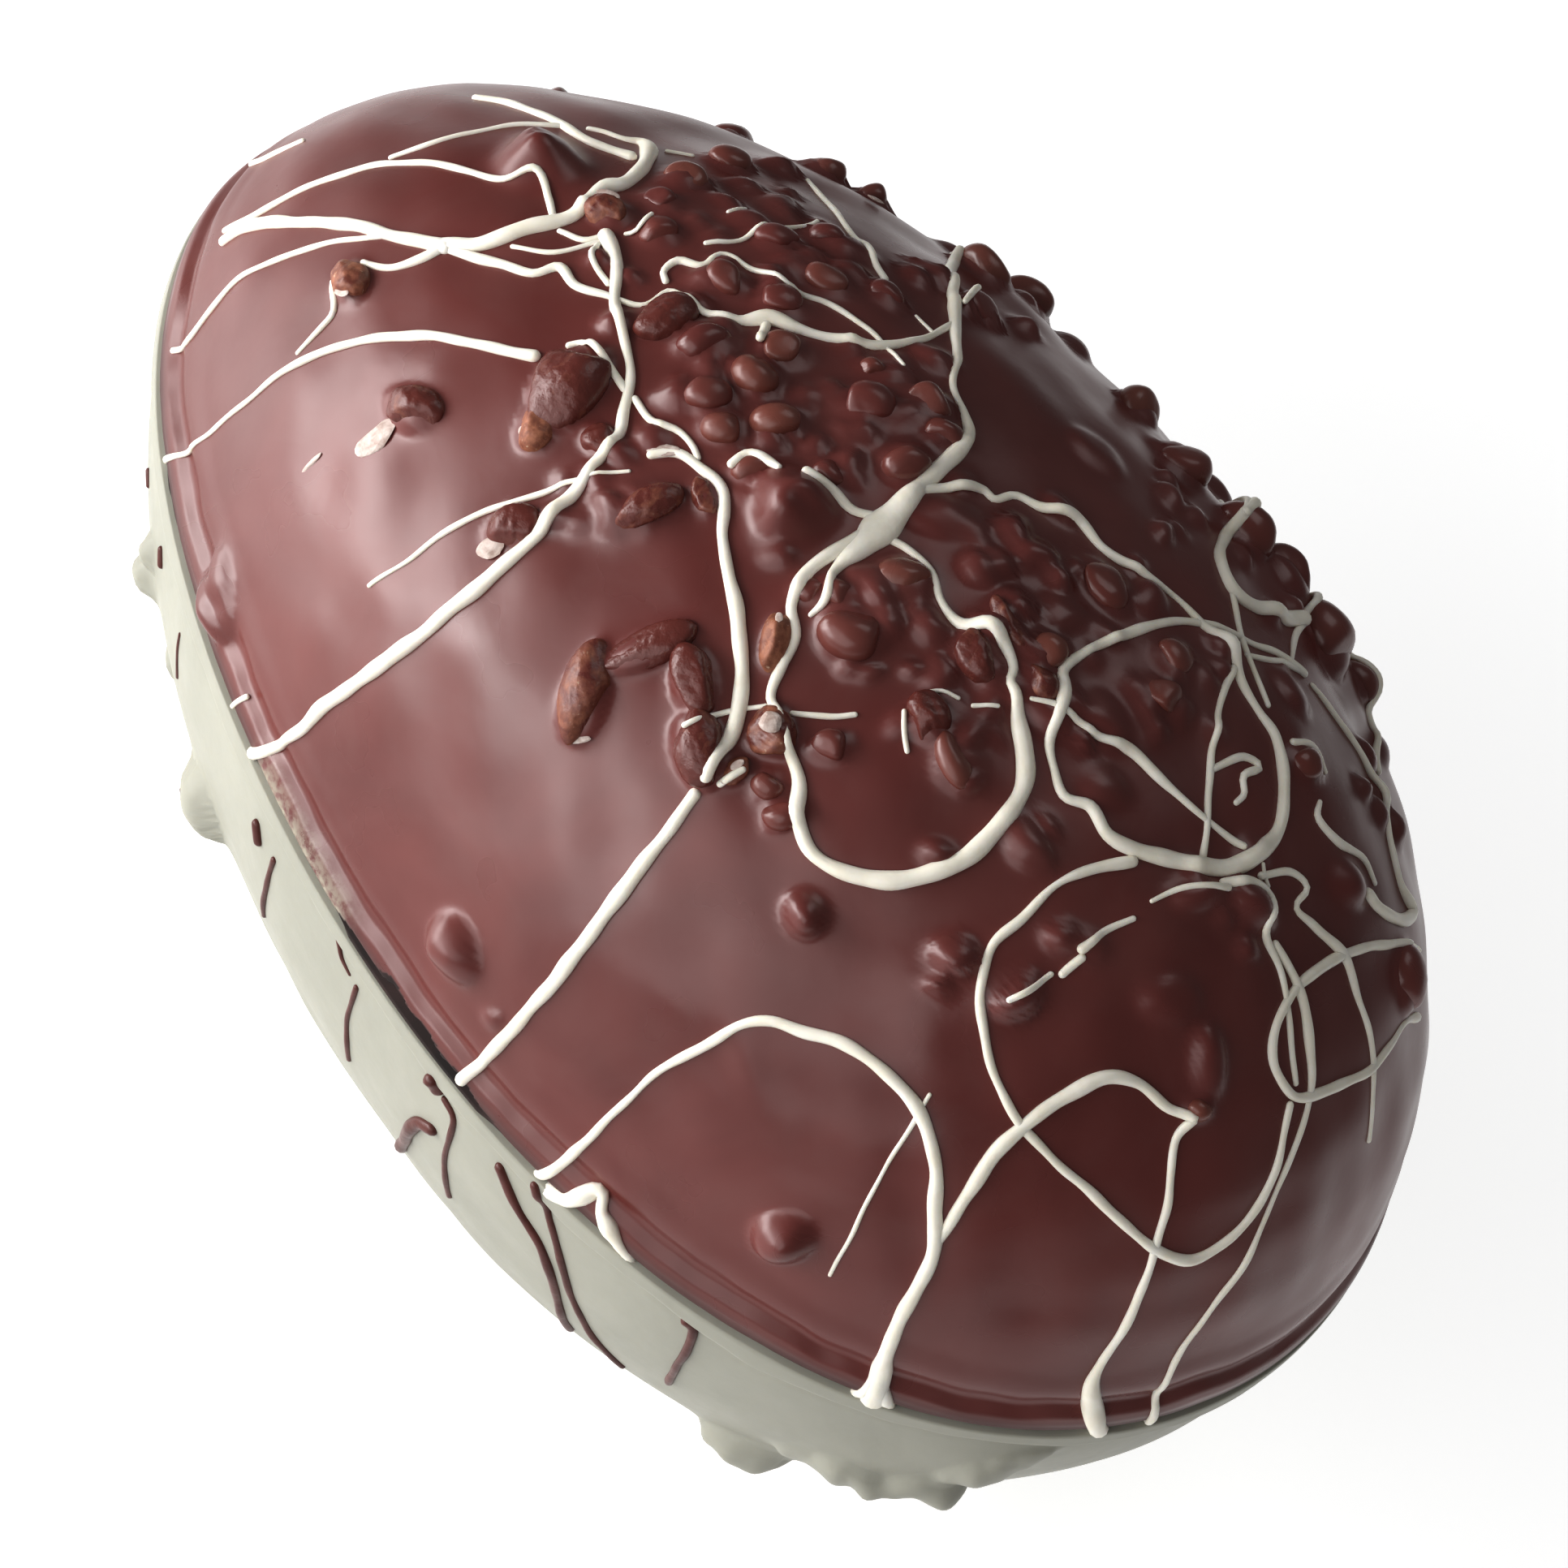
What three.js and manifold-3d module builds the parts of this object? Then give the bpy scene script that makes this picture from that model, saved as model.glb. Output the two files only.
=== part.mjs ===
// A large chocolate egg of two joined half shells, lying on its side with the pale half down.
// The dark half on top is studded with crisps and nut pieces under its chocolate and drizzled with
// white chocolate; the white half below has a few lumps and thin dark drizzle.
// Millimetres, +Z up, +X towards the egg's broad end. The origin is on the small flat spot that the
// egg rests on, under the middle of its length.
import * as THREE from "three";
import { mergeVertices } from "three/addons/utils/BufferGeometryUtils.js";
import Module from "manifold-3d";

const wasm = await Module();
wasm.setup();

// ---- Driving dimensions ----
const EGG_LENGTH = 200;
const EGG_WIDTH = 130;
const WIDEST_AT = 14; // the widest section lies this far from mid-length, towards the broad end
const DARK_FULLNESS = 1.045; // height of each half over half the egg's width
const WHITE_FULLNESS = 1;
const SEAM_GAP = 0.3;
const REST_FLAT_DEPTH = 1.5; // what the flat spot takes off the bottom
const SEAM_HEIGHT = (EGG_WIDTH / 2) * WHITE_FULLNESS - REST_FLAT_DEPTH;

// The moulded edge of each half, from the seam: [height above the seam, how far it stands out].
const DARK_LIP = [
  [SEAM_GAP / 2, 1.1],
  [2, 1.1],
  [3.2, -0.2],
  [6.5, 0.2],
];
const WHITE_LIP = [
  [SEAM_GAP / 2, 1.2],
  [3, 1.2],
  [3.8, 0.1],
];

// Mesh fineness.
const OUTLINE_POINTS = 48;
const DOME_RINGS = 9;
const LUMP_RINGS = 3;
const BIG_LUMP = 7.2; // lumps at least this long get six sides, smaller ones five
const STRAND_STEP = 6;
// Section of a drizzle bead in half widths: [aside, above its middle], a flat-topped ridge.
const STRAND_SECTION = [
  [0.6, 0.85],
  [-0.6, 0.85],
  [-1, -0.5],
  [1, -0.5],
];
const SLIVER = 0.15; // facets finer than this are merged away once the pieces are fused

// ---- The layout plan ----
// Lumps and drizzle are laid out on one flat plan of the egg, seen aslant from above its near side,
// and are dropped from it along the line of sight onto the shell. A place on the plan is
// [across, down], in plan units.
const PLAN_UNIT = 1 / 9.834; // millimetres
const PLAN_MIDDLE = [928.7, 936]; // where the middle of the egg lies on the plan
const PLAN_AZIMUTH = THREE.MathUtils.degToRad(21.36);
const PLAN_ELEVATION = THREE.MathUtils.degToRad(52);
const PLAN_ROLL = THREE.MathUtils.degToRad(34.18);
const PLAN_DISTANCE = 1500;

// Crisps and nuts under the dark chocolate: [across, down, length, width, height, spin in degrees].
const DARK_LUMPS = [
  // near the narrow tip
  [664, 208, 12.5, 10.5, 3.4, 80],
  [750, 266, 6, 5, 2.6, 30],
  [433, 347, 6, 5.2, 2.6, 40],
  [512, 507, 8, 5.6, 2.8, 20],
  [276, 735, 12, 7, 1.8, 75],
  // the near flank
  [704, 490, 12.5, 7.6, 3, 117],
  [664, 529, 5, 4, 2.2, 100],
  [636, 650, 6.6, 5, 2.4, -10],
  [802, 631, 8.6, 5, 2.6, -27],
  [871, 616, 5.4, 3, 1.8, 75],
  [805, 802, 11, 3.4, 2.4, -23],
  [726, 856, 12, 5.6, 3, 103],
  [857, 840, 7.4, 4.6, 2.8, 75],
  [865, 925, 10, 6.4, 3, 75],
  [953, 905, 6.4, 5.6, 2.8, 80],
  [958, 792, 7.6, 3.4, 2.4, 100],
  [965, 1005, 5, 4.4, 1.8, 0],
  [993, 1127, 6, 5.2, 2, 40],
  [564, 1169, 9, 8, 2.2, 40],
  [966, 1525, 7.6, 7, 2.6, 30],
  [1178, 1177, 6, 5.4, 2.2, 0],
  [1257, 1231, 7, 5, 2.2, -30],
  [1445, 1234, 8, 6.6, 1.2, 0],
  [1490, 1310, 10, 5, 1.6, 80],
  // the crowded crest
  [845, 225, 6, 5, 2.4, 20],
  [899, 201, 6, 4.8, 2.2, 0],
  [810, 289, 5.6, 4.6, 2.2, -20],
  [820, 394, 8, 6, 2.8, -30],
  [893, 349, 7, 4.6, 2.6, 50],
  [868, 427, 7.6, 5.8, 2.6, -5],
  [956, 302, 6.6, 5, 2.2, 0],
  [1018, 299, 5.6, 4.6, 2.4, 60],
  [960, 374, 6.2, 5, 2, 0],
  [1019, 349, 6.4, 5.4, 2, 0],
  [1091, 368, 5.4, 4.2, 2, 60],
  [962, 432, 6, 5, 2.2, 0],
  [931, 469, 6.6, 6, 2.8, 30],
  [872, 493, 6.6, 6, 2.6, 0],
  [893, 533, 6, 5, 2.4, 0],
  [958, 525, 7, 5, 2.6, 0],
  [1068, 503, 7.6, 6.4, 2.8, -15],
  [1143, 500, 7.6, 5.4, 2.6, 15],
  [1163, 539, 5.4, 4.4, 2, 0],
  [1118, 576, 7.2, 5.4, 2.8, -30],
  [1022, 587, 4.8, 4, 1.8, 0],
  [930, 584, 6, 4.6, 2.2, 0],
  [980, 638, 11.5, 9.5, 4, 50],
  [1037, 735, 5.4, 4.6, 2.2, 60],
  [1114, 717, 7.4, 6.4, 2.8, 0],
  [1050, 784, 9, 7.4, 3, 20],
  [1163, 635, 11, 7, 1.6, 0],
  [1203, 810, 7.2, 5, 2.6, 70],
  [1241, 772, 7.6, 3, 2, 65],
  [1247, 655, 5.4, 5, 1.6, 0],
  [1279, 686, 6, 4.6, 1.5, 30],
  [1361, 722, 8, 6, 2, 70],
  [1415, 740, 6, 5, 1.3, 0],
  [1290, 806, 5.8, 4.8, 2.1, -30],
  [1281, 845, 5, 3.8, 2, 60],
  [1446, 814, 6, 5.2, 1.9, 0],
  [1432, 861, 6, 4.8, 2, 0],
  [1360, 880, 6.4, 5.4, 1.4, 0],
  [1143, 888, 6.4, 5.6, 3, 80],
  [1025, 921, 5, 4.4, 1.8, 0],
  [1175, 940, 8, 4.4, 1.8, 75],
  [1266, 1042, 7.4, 5.4, 1.8, 40],
  [1310, 1157, 5.4, 4.4, 1.6, 0],
  [1477, 1105, 8, 4.4, 1.8, -10],
  [1541, 1114, 7, 5, 2.2, 20],
  [1588, 853, 6.6, 5.4, 1.4, 50],
  [1606, 944, 6, 5, 2, 0],
  [1660, 1090, 7, 6, 1.6, 0],
  // lumps that stand up along the far skyline
  [1022, 212, 6.4, 5.6, 3.6, 0],
  [1076, 250, 5.4, 5, 3.2, 0],
  [1204, 385, 6.4, 5.4, 2.6, 0],
  [1207, 345, 8.4, 7, 4, 20],
  [1262, 378, 8.6, 7.4, 4, 20],
  [1400, 508, 6.6, 6, 3.6, 20],
  [1452, 580, 8, 7, 4, 30],
  [1524, 664, 9.6, 8, 4.4, 60],
  [1574, 720, 9.4, 8, 4.4, 40],
  [1622, 790, 10.5, 9, 4.8, 50],
  [1668, 842, 7, 6, 3.6, 60],
  [1732, 1206, 9, 7.4, 2.6, 80],
];

const WHITE_LUMPS = [
  [182, 709, 5.6, 5, 3.2, 80],
  [250, 990, 9, 8, 4.4, 70],
  [913, 1778, 8.4, 7, 4, 0],
  [958, 1782, 6, 5, 1.8, 0],
  [1060, 1800, 8.8, 7.6, 4, 0],
  [1140, 1808, 11, 8, 4.4, 0],
  [1256, 1788, 8, 6, 2.2, 0],
];

// Thick drizzle: the bead's way over the shell as [across, down, width in millimetres].
const WHITE_DRIZZLE = {
  tipBow: [[276, 295, 2.4], [329, 272, 2], [406, 273, 2], [483, 287, 2.1], [545, 303, 2.3]],
  skyline: [[591, 119, 1.5], [644, 131, 1.6], [691, 150, 1.6], [731, 175, 1.6], [777, 194, 1.6]],
  shoulderLoop: [
    [785, 169, 2.2], [801, 188, 2.3], [795, 210, 2.3], [759, 236, 2], [728, 254, 2.4],
    [679, 277, 2.3], [603, 295, 2.3], [538, 310, 2.4], [500, 321, 1.8],
  ],
  crestRun: [
    [538, 305, 1.5], [603, 321, 1.5], [654, 338, 1.5], [690, 332, 1.4], [723, 359, 1.3],
    [767, 362, 1.4], [826, 360, 1.2], [859, 382, 1.2], [900, 396, 1.2], [953, 399, 2.2],
    [1004, 416, 1.8], [1081, 428, 1.9], [1132, 423, 1.5], [1171, 403, 1.4],
  ],
  longDiagonal: [
    [751, 287, 2.2], [759, 334, 2.3], [767, 410, 1.4], [778, 475, 1.4], [767, 532, 1.5],
    [746, 576, 1.8], [715, 604, 1.4], [685, 645, 1.9], [623, 704, 2.1], [538, 766, 2.2],
    [471, 823, 2.2], [401, 872, 2], [355, 911, 1.7], [320, 927, 1.6],
  ],
  tipCurve: [
    [350, 463, 1.2], [406, 431, 1.2], [458, 417, 1.3], [509, 413, 1.5], [577, 421, 1.6],
    [652, 440, 1.8],
  ],
  hookRun: [
    [805, 563, 1.3], [833, 563, 1.3], [885, 592, 1.5], [896, 632, 1.5], [891, 671, 1.6],
    [909, 748, 1.9], [917, 800, 2], [909, 893, 1.9], [883, 957, 1.6],
  ],
  nearSweep: [
    [861, 978, 2.4], [823, 1028, 2.1], [772, 1103, 2], [705, 1184, 2], [633, 1268, 1.6],
    [579, 1330, 1.5],
  ],
  lowBow: [
    [679, 1440, 1.2], [736, 1396, 1], [782, 1350, 0.9], [833, 1309, 1.1], [901, 1268, 1.4],
    [953, 1261, 1.5], [1029, 1284, 1.6], [1081, 1314, 1.6], [1135, 1372, 1.5], [1158, 1455, 1.6],
    [1153, 1541, 1.8], [1122, 1598, 1.8], [1096, 1654, 1.5], [1072, 1712, 2.2],
  ],
  arch: [
    [1158, 1528, 1.4], [1201, 1463, 1.3], [1256, 1398, 1.4], [1323, 1348, 1.7], [1385, 1330, 1.9],
    [1421, 1355, 1.8], [1464, 1376, 1.6], [1446, 1422, 1.2], [1438, 1499, 1.2], [1415, 1569, 1.2],
    [1374, 1659, 1.1], [1346, 1711, 1.8], [1353, 1752, 1.9],
  ],
  wideCurl: [
    [1387, 1062, 1.2], [1323, 1077, 1.3], [1264, 1131, 1.3], [1215, 1186, 1.2], [1213, 1255, 1.2],
    [1244, 1363, 1.2], [1315, 1448, 1.3], [1423, 1536, 1.3], [1472, 1554, 1.3], [1523, 1526, 1.3],
    [1569, 1435, 1.2], [1590, 1358, 1.2],
  ],
  crownRing: [
    [1081, 660, 4.6], [1042, 681, 2.2], [994, 714, 1.6], [982, 761, 1.7], [960, 830, 1.5],
    [955, 867, 1.5], [975, 915, 1.7], [986, 944, 1.8], [984, 1000, 2], [1005, 1056, 2.1],
    [1068, 1082, 2.2], [1132, 1082, 2.4], [1209, 1044, 2.5], [1256, 980, 2.5], [1267, 931, 2.5],
    [1259, 872, 2.2], [1240, 841, 1.5], [1246, 815, 1.6], [1214, 778, 1.9], [1160, 745, 1.3],
    [1122, 684, 1.2], [1095, 664, 3],
  ],
  crownBranch: [
    [1173, 318, 1.3], [1168, 372, 1.5], [1178, 423, 1.7], [1175, 480, 1.5], [1186, 510, 1.4],
    [1191, 545, 1.9], [1158, 573, 1.9], [1122, 604, 2], [1091, 648, 4],
  ],
  farRun: [
    [1106, 628, 1.8], [1145, 604, 1.5], [1217, 604, 1.4], [1250, 615, 1.4], [1297, 635, 1.3],
    [1336, 645, 1.7], [1385, 699, 1.6], [1431, 722, 1.5], [1467, 761, 1.3], [1512, 812, 2.6],
    [1546, 877, 1.7], [1572, 931, 1.7], [1582, 990, 1.7], [1546, 1057, 2.1], [1495, 1072, 2.3],
    [1418, 1054, 2.3], [1364, 1036, 2.2], [1341, 990, 1.9], [1308, 964, 1.7], [1295, 913, 1.4],
    [1308, 862, 1.5], [1338, 804, 1.6], [1395, 778, 1.7], [1456, 768, 1.5], [1508, 778, 1.2],
  ],
  skylineFork: [
    [1505, 628, 1.6], [1500, 676, 1.8], [1508, 725, 1.9], [1541, 745, 1.8], [1590, 774, 1.6],
  ],
  broadLoop: [
    [1660, 1178, 1.4], [1609, 1209, 1.4], [1573, 1263, 1.4], [1571, 1325, 1.4], [1606, 1355, 1.6],
    [1660, 1335, 1.5], [1704, 1304, 1.3], [1722, 1270, 1.1],
  ],
};

// Drizzle on the side away from the plan runs from the crest to the rim in lazy waves, by rule.
const FAR_STRANDS = 7;
const FAR_STRAND_WIDTH = 1.7;
const FAR_CRISPS = 36;
const WHITE_SCATTER = 20;

// ---- The egg's own surface, with the seam plane at height 0 ----
const halfLengthSquared = EGG_LENGTH ** 2;

// Square of the egg's radius in the seam plane at x.
function radiusSquared(x) {
  const taper = halfLengthSquared - 8 * WIDEST_AT * x + 4 * WIDEST_AT ** 2;
  return ((EGG_WIDTH / 2) ** 2 * (halfLengthSquared - 4 * x * x)) / taper;
}

const fullnessAt = (z) => (z > 0 ? DARK_FULLNESS : WHITE_FULLNESS);

// Below 0 inside the egg, above 0 outside.
function outside(point) {
  return point.y ** 2 + (point.z / fullnessAt(point.z)) ** 2 - radiusSquared(point.x);
}

function surfaceNormal(point) {
  const step = 0.01;
  const slope = (radiusSquared(point.x + step) - radiusSquared(point.x - step)) / (2 * step);
  return new THREE.Vector3(-slope, 2 * point.y, (2 * point.z) / fullnessAt(point.z) ** 2).normalize();
}

// Moves a point straight out from, or in to, the egg's long axis until it is on the surface.
function ontoShell(point) {
  const reach = Math.hypot(point.y, point.z / fullnessAt(point.z));
  const scale = Math.sqrt(Math.max(radiusSquared(point.x), 0)) / reach;
  return new THREE.Vector3(point.x, point.y * scale, point.z * scale);
}

// ---- From the plan to the shell ----
const planBack = new THREE.Vector3(
  Math.sin(PLAN_AZIMUTH) * Math.cos(PLAN_ELEVATION),
  -Math.cos(PLAN_AZIMUTH) * Math.cos(PLAN_ELEVATION),
  Math.sin(PLAN_ELEVATION),
);
const planRight = new THREE.Vector3(Math.cos(PLAN_AZIMUTH), Math.sin(PLAN_AZIMUTH), 0).applyAxisAngle(
  planBack,
  PLAN_ROLL,
);
const planUp = new THREE.Vector3().crossVectors(planBack, planRight);

// The point of the shell that lies under a place of the plan. Past the egg's outline it is the
// shell's point nearest to the line of sight.
function dropFromPlan([across, down]) {
  const eye = planBack.clone().multiplyScalar(PLAN_DISTANCE);
  const target = planRight
    .clone()
    .multiplyScalar((across - PLAN_MIDDLE[0]) * PLAN_UNIT)
    .addScaledVector(planUp, (PLAN_MIDDLE[1] - down) * PLAN_UNIT);
  const sight = target.sub(eye).normalize();
  const at = (distance) => eye.clone().addScaledVector(sight, distance);
  const step = 1;
  let nearest = PLAN_DISTANCE - EGG_LENGTH / 2;
  for (let distance = nearest; distance < PLAN_DISTANCE + EGG_LENGTH / 2; distance += step) {
    if (outside(at(distance)) < 0) {
      let [near, far] = [distance - step, distance];
      for (let pass = 0; pass < 20; pass++) {
        const middle = (near + far) / 2;
        if (outside(at(middle)) < 0) far = middle;
        else near = middle;
      }
      return at(far);
    }
    if (outside(at(distance)) < outside(at(nearest))) nearest = distance;
  }
  return ontoShell(at(nearest));
}

// The point of the shell at a station (0 at the narrow tip, 180 at the broad one) and a turn
// (0 at the near rim, 90 at the crest, 180 at the far rim, below 0 under the egg), in degrees.
function shellPoint(station, turn) {
  const [a, b] = [THREE.MathUtils.degToRad(station), THREE.MathUtils.degToRad(turn)];
  const x = (-EGG_LENGTH / 2) * Math.cos(a);
  const radius = Math.sqrt(radiusSquared(x));
  const z = radius * Math.sin(b);
  return new THREE.Vector3(x, -radius * Math.cos(b), z * fullnessAt(z));
}

// The plan shows all that it can see, so what is laid by rule fills only the side turned away.
const facesAway = (point) => surfaceNormal(point).dot(planBack) < -0.12;

// A repeatable source of numbers between 0 and 1.
function seededRandom(seed) {
  let state = seed;
  return () => {
    state = (state * 1664525 + 1013904223) % 4294967296;
    return state / 4294967296;
  };
}

// ---- Solids ----
function toSolid(geometry) {
  const bare = geometry.clone();
  bare.deleteAttribute("normal");
  bare.deleteAttribute("uv");
  const merged = mergeVertices(bare, 1e-4);
  return new wasm.Manifold(
    new wasm.Mesh({
      numProp: 3,
      vertProperties: new Float32Array(merged.attributes.position.array),
      triVerts: new Uint32Array(merged.index.array),
    }),
  );
}

function toGeometry(solid) {
  const { vertProperties, triVerts } = solid.getMesh();
  const geometry = new THREE.BufferGeometry();
  geometry.setAttribute("position", new THREE.BufferAttribute(vertProperties, 3));
  geometry.setIndex(new THREE.BufferAttribute(triVerts, 1));
  geometry.computeVertexNormals();
  return geometry;
}

// A closed surface from rings of points, each ring joined to the next, ended by two single points.
function closedSweep(firstEnd, rings, lastEnd) {
  const count = rings[0].length;
  const points = [firstEnd, ...rings.flat(), lastEnd];
  const index = [];
  const at = (ring, i) => 1 + ring * count + (i % count);
  for (let i = 0; i < count; i++) {
    index.push(0, at(0, i + 1), at(0, i));
    for (let ring = 0; ring + 1 < rings.length; ring++) {
      index.push(at(ring, i), at(ring, i + 1), at(ring + 1, i));
      index.push(at(ring, i + 1), at(ring + 1, i + 1), at(ring + 1, i));
    }
    index.push(points.length - 1, at(rings.length - 1, i), at(rings.length - 1, i + 1));
  }
  const geometry = new THREE.BufferGeometry().setFromPoints(points);
  geometry.setIndex(index);
  return geometry;
}

// Angles round the widest section's centre that give evenly spaced points along the rim.
const rimAngles = Array.from({ length: OUTLINE_POINTS }, (_, i) => {
  const u = (i / OUTLINE_POINTS) * 2 * Math.PI;
  const x = (-EGG_LENGTH / 2) * Math.cos(u);
  return Math.atan2(Math.sign(Math.sin(u)) * Math.sqrt(Math.max(radiusSquared(x), 0)), x - WIDEST_AT);
});

// One ring of the dome: the egg's level curve at a height, set outwards by some millimetres.
function levelRing(height, fullness, outwards) {
  return rimAngles.map((angle) => {
    const [dx, dy] = [Math.cos(angle), Math.sin(angle)];
    let [inner, outer] = [0, EGG_LENGTH];
    for (let pass = 0; pass < 40; pass++) {
      const middle = (inner + outer) / 2;
      const x = WIDEST_AT + middle * dx;
      const level = radiusSquared(x) - (middle * dy) ** 2 - (height / fullness) ** 2;
      if (Math.abs(x) < EGG_LENGTH / 2 && level > 0) inner = middle;
      else outer = middle;
    }
    const point = new THREE.Vector3(WIDEST_AT + inner * dx, inner * dy, 0);
    const normal = surfaceNormal(point);
    return point.addScaledVector(normal.setZ(0).normalize(), outwards).setZ(height);
  });
}

// A solid half egg, standing on the seam plane. The lower half is the same form turned over.
function halfEgg(fullness, lip, downwards) {
  const crownHeight = (EGG_WIDTH / 2) * fullness;
  const rings = lip.map(([height, outwards]) => levelRing(height, fullness, outwards));
  const lipTop = Math.asin(lip[lip.length - 1][0] / crownHeight);
  for (let i = 1; i <= DOME_RINGS; i++) {
    const rise = lipTop + ((Math.PI / 2 - lipTop) * i) / (DOME_RINGS + 1);
    rings.push(levelRing(crownHeight * Math.sin(rise), fullness, 0));
  }
  const foot = new THREE.Vector3(WIDEST_AT, 0, lip[0][0]);
  const crown = new THREE.Vector3(WIDEST_AT, 0, crownHeight);
  if (!downwards) return toSolid(closedSweep(foot, rings.map((ring) => ring.reverse()), crown));
  const turnedOver = closedSweep(foot, rings, crown).scale(1, 1, -1);
  return toSolid(turnedOver);
}

// A lump under the chocolate: where it sits, its axes and its half sizes.
function makeLump([across, down, length, width, height, spin]) {
  const place = dropFromPlan([across, down]);
  const spinAngle = THREE.MathUtils.degToRad(spin);
  const along = planRight.clone().multiplyScalar(Math.cos(spinAngle));
  along.addScaledVector(planUp, -Math.sin(spinAngle));
  return lumpAt(place, along, length, width, height);
}

function lumpAt(place, direction, length, width, height) {
  const normal = surfaceNormal(place);
  const along = direction.clone().addScaledVector(normal, -direction.dot(normal)).normalize();
  const aside = new THREE.Vector3().crossVectors(normal, along);
  return { place, normal, along, aside, length: length / 2, width: width / 2, height };
}

function lumpSolid(lump) {
  const sunk = 0.15 * lump.height;
  const sides = 2 * lump.length < BIG_LUMP ? 5 : 6;
  const shape = new THREE.SphereGeometry(1, sides, LUMP_RINGS).rotateX(Math.PI / 2);
  shape.scale(lump.length, lump.width, lump.height + sunk);
  const middle = lump.place.clone().addScaledVector(lump.normal, -sunk);
  const frame = new THREE.Matrix4().makeBasis(lump.along, lump.aside, lump.normal);
  return toSolid(shape.applyMatrix4(frame.setPosition(middle)));
}

// How far the lumps raise the surface at a point of the shell.
function raisedBy(lumps, point) {
  let raised = 0;
  for (const lump of lumps) {
    const away = point.clone().sub(lump.place);
    const along = away.dot(lump.along) / lump.length;
    const aside = away.dot(lump.aside) / lump.width;
    const left = 1 - along * along - aside * aside;
    if (left > 0 && away.length() < 2 * lump.length) raised = Math.max(raised, lump.height * Math.sqrt(left));
  }
  return raised;
}

// A bead of drizzle through [point, width] waypoints, half sunk in what it crosses, round ended.
function strandSolid(waypoints, lumps) {
  const curve = new THREE.CatmullRomCurve3(
    waypoints.map(([point]) => point),
    false,
    "centripetal",
  );
  const spans = waypoints.length - 1;
  const stops = [];
  for (let span = 0; span < spans; span++) {
    const length = waypoints[span][0].distanceTo(waypoints[span + 1][0]);
    const pieces = Math.max(1, Math.round(length / STRAND_STEP));
    for (let piece = 0; piece < pieces; piece++) stops.push(span + piece / pieces);
  }
  stops.push(spans);
  const places = stops.map((stop) => ontoShell(curve.getPoint(stop / spans)));
  const heights = places.map((place) => raisedBy(lumps, place));
  const radii = stops.map((stop) => {
    const span = Math.min(Math.floor(stop), spans - 1);
    return THREE.MathUtils.lerp(waypoints[span][1], waypoints[span + 1][1], stop - span) / 2;
  });
  const ringAt = (i, scale, shift) => {
    const before = places[Math.max(i - 1, 0)];
    const after = places[Math.min(i + 1, places.length - 1)];
    const normal = surfaceNormal(places[i]);
    const forward = after.clone().sub(before);
    forward.addScaledVector(normal, -forward.dot(normal)).normalize();
    const aside = new THREE.Vector3().crossVectors(normal, forward);
    const centre = places[i].clone().addScaledVector(normal, heights[i] + 0.15 * radii[i]);
    centre.addScaledVector(forward, shift * radii[i]);
    if (!scale) return centre;
    return STRAND_SECTION.map(([across, above]) =>
      centre
        .clone()
        .addScaledVector(aside, radii[i] * scale * across)
        .addScaledVector(normal, radii[i] * scale * above),
    );
  };
  const last = places.length - 1;
  const rings = [ringAt(0, 0.75, -0.6), ...places.map((_, i) => ringAt(i, 1, 0)), ringAt(last, 0.75, 0.6)];
  return toSolid(closedSweep(ringAt(0, 0, -1), rings, ringAt(last, 0, 1)));
}

// Waves of drizzle over the far flank, from the crest down to the rim.
function farStrands() {
  const waves = Array.from({ length: FAR_STRANDS }, (_, strand) => {
    const start = 32 + (112 * strand) / (FAR_STRANDS - 1);
    return [0, 1, 2, 3, 4, 5].map((stop) => {
      const drift = 7 * Math.sin(1.9 * stop + 1.3 * strand) + (strand % 2 ? 2.5 : -2.5) * stop;
      return [shellPoint(start + drift, 112 + 13 * stop), FAR_STRAND_WIDTH * (1 - 0.07 * stop)];
    });
  });
  return waves.map((wave) => wave.filter(([point]) => facesAway(point))).filter((wave) => wave.length > 2);
}

// Lumps thrown over the side turned away from the plan, between the given turns on either flank.
function scatter(count, seed, turnAt) {
  const random = seededRandom(seed);
  const lumps = Array.from({ length: count }, (_, i) => {
    const place = shellPoint(30 + (125 * (i + random())) / count, turnAt(i, random()));
    const size = 5 + 3.5 * random();
    const direction = new THREE.Vector3(random() - 0.5, random() - 0.5, random() - 0.5);
    return lumpAt(place, direction, size, 0.85 * size, 0.38 * size);
  });
  return lumps.filter((lump) => facesAway(lump.place));
}

// Crisps beyond the crest, thinning out towards the far rim.
const farCrisps = () => scatter(FAR_CRISPS, 11, (i, draw) => 112 + 58 * draw ** 1.5);

// Lumps low on both flanks of the white half, clear of the flat spot.
const whiteScatter = () => scatter(WHITE_SCATTER, 5, (i, draw) => (i % 2 ? -46 - 12 * draw : -165 + 40 * draw));

// Fuses pieces, keeps what lies between two heights, and fills any hollow that the fusing shut.
function fuse(pieces, bottom, top) {
  const whole = pieces.reduce((sum, piece) => sum.add(piece)).simplify(SLIVER);
  const slab = new THREE.BoxGeometry(2 * EGG_LENGTH, 2 * EGG_LENGTH, top - bottom);
  const kept = whole.intersect(toSolid(slab.translate(0, 0, (top + bottom) / 2)));
  const bodies = kept.decompose();
  return bodies.reduce((most, body) => (body.volume() > most.volume() ? body : most));
}

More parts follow.
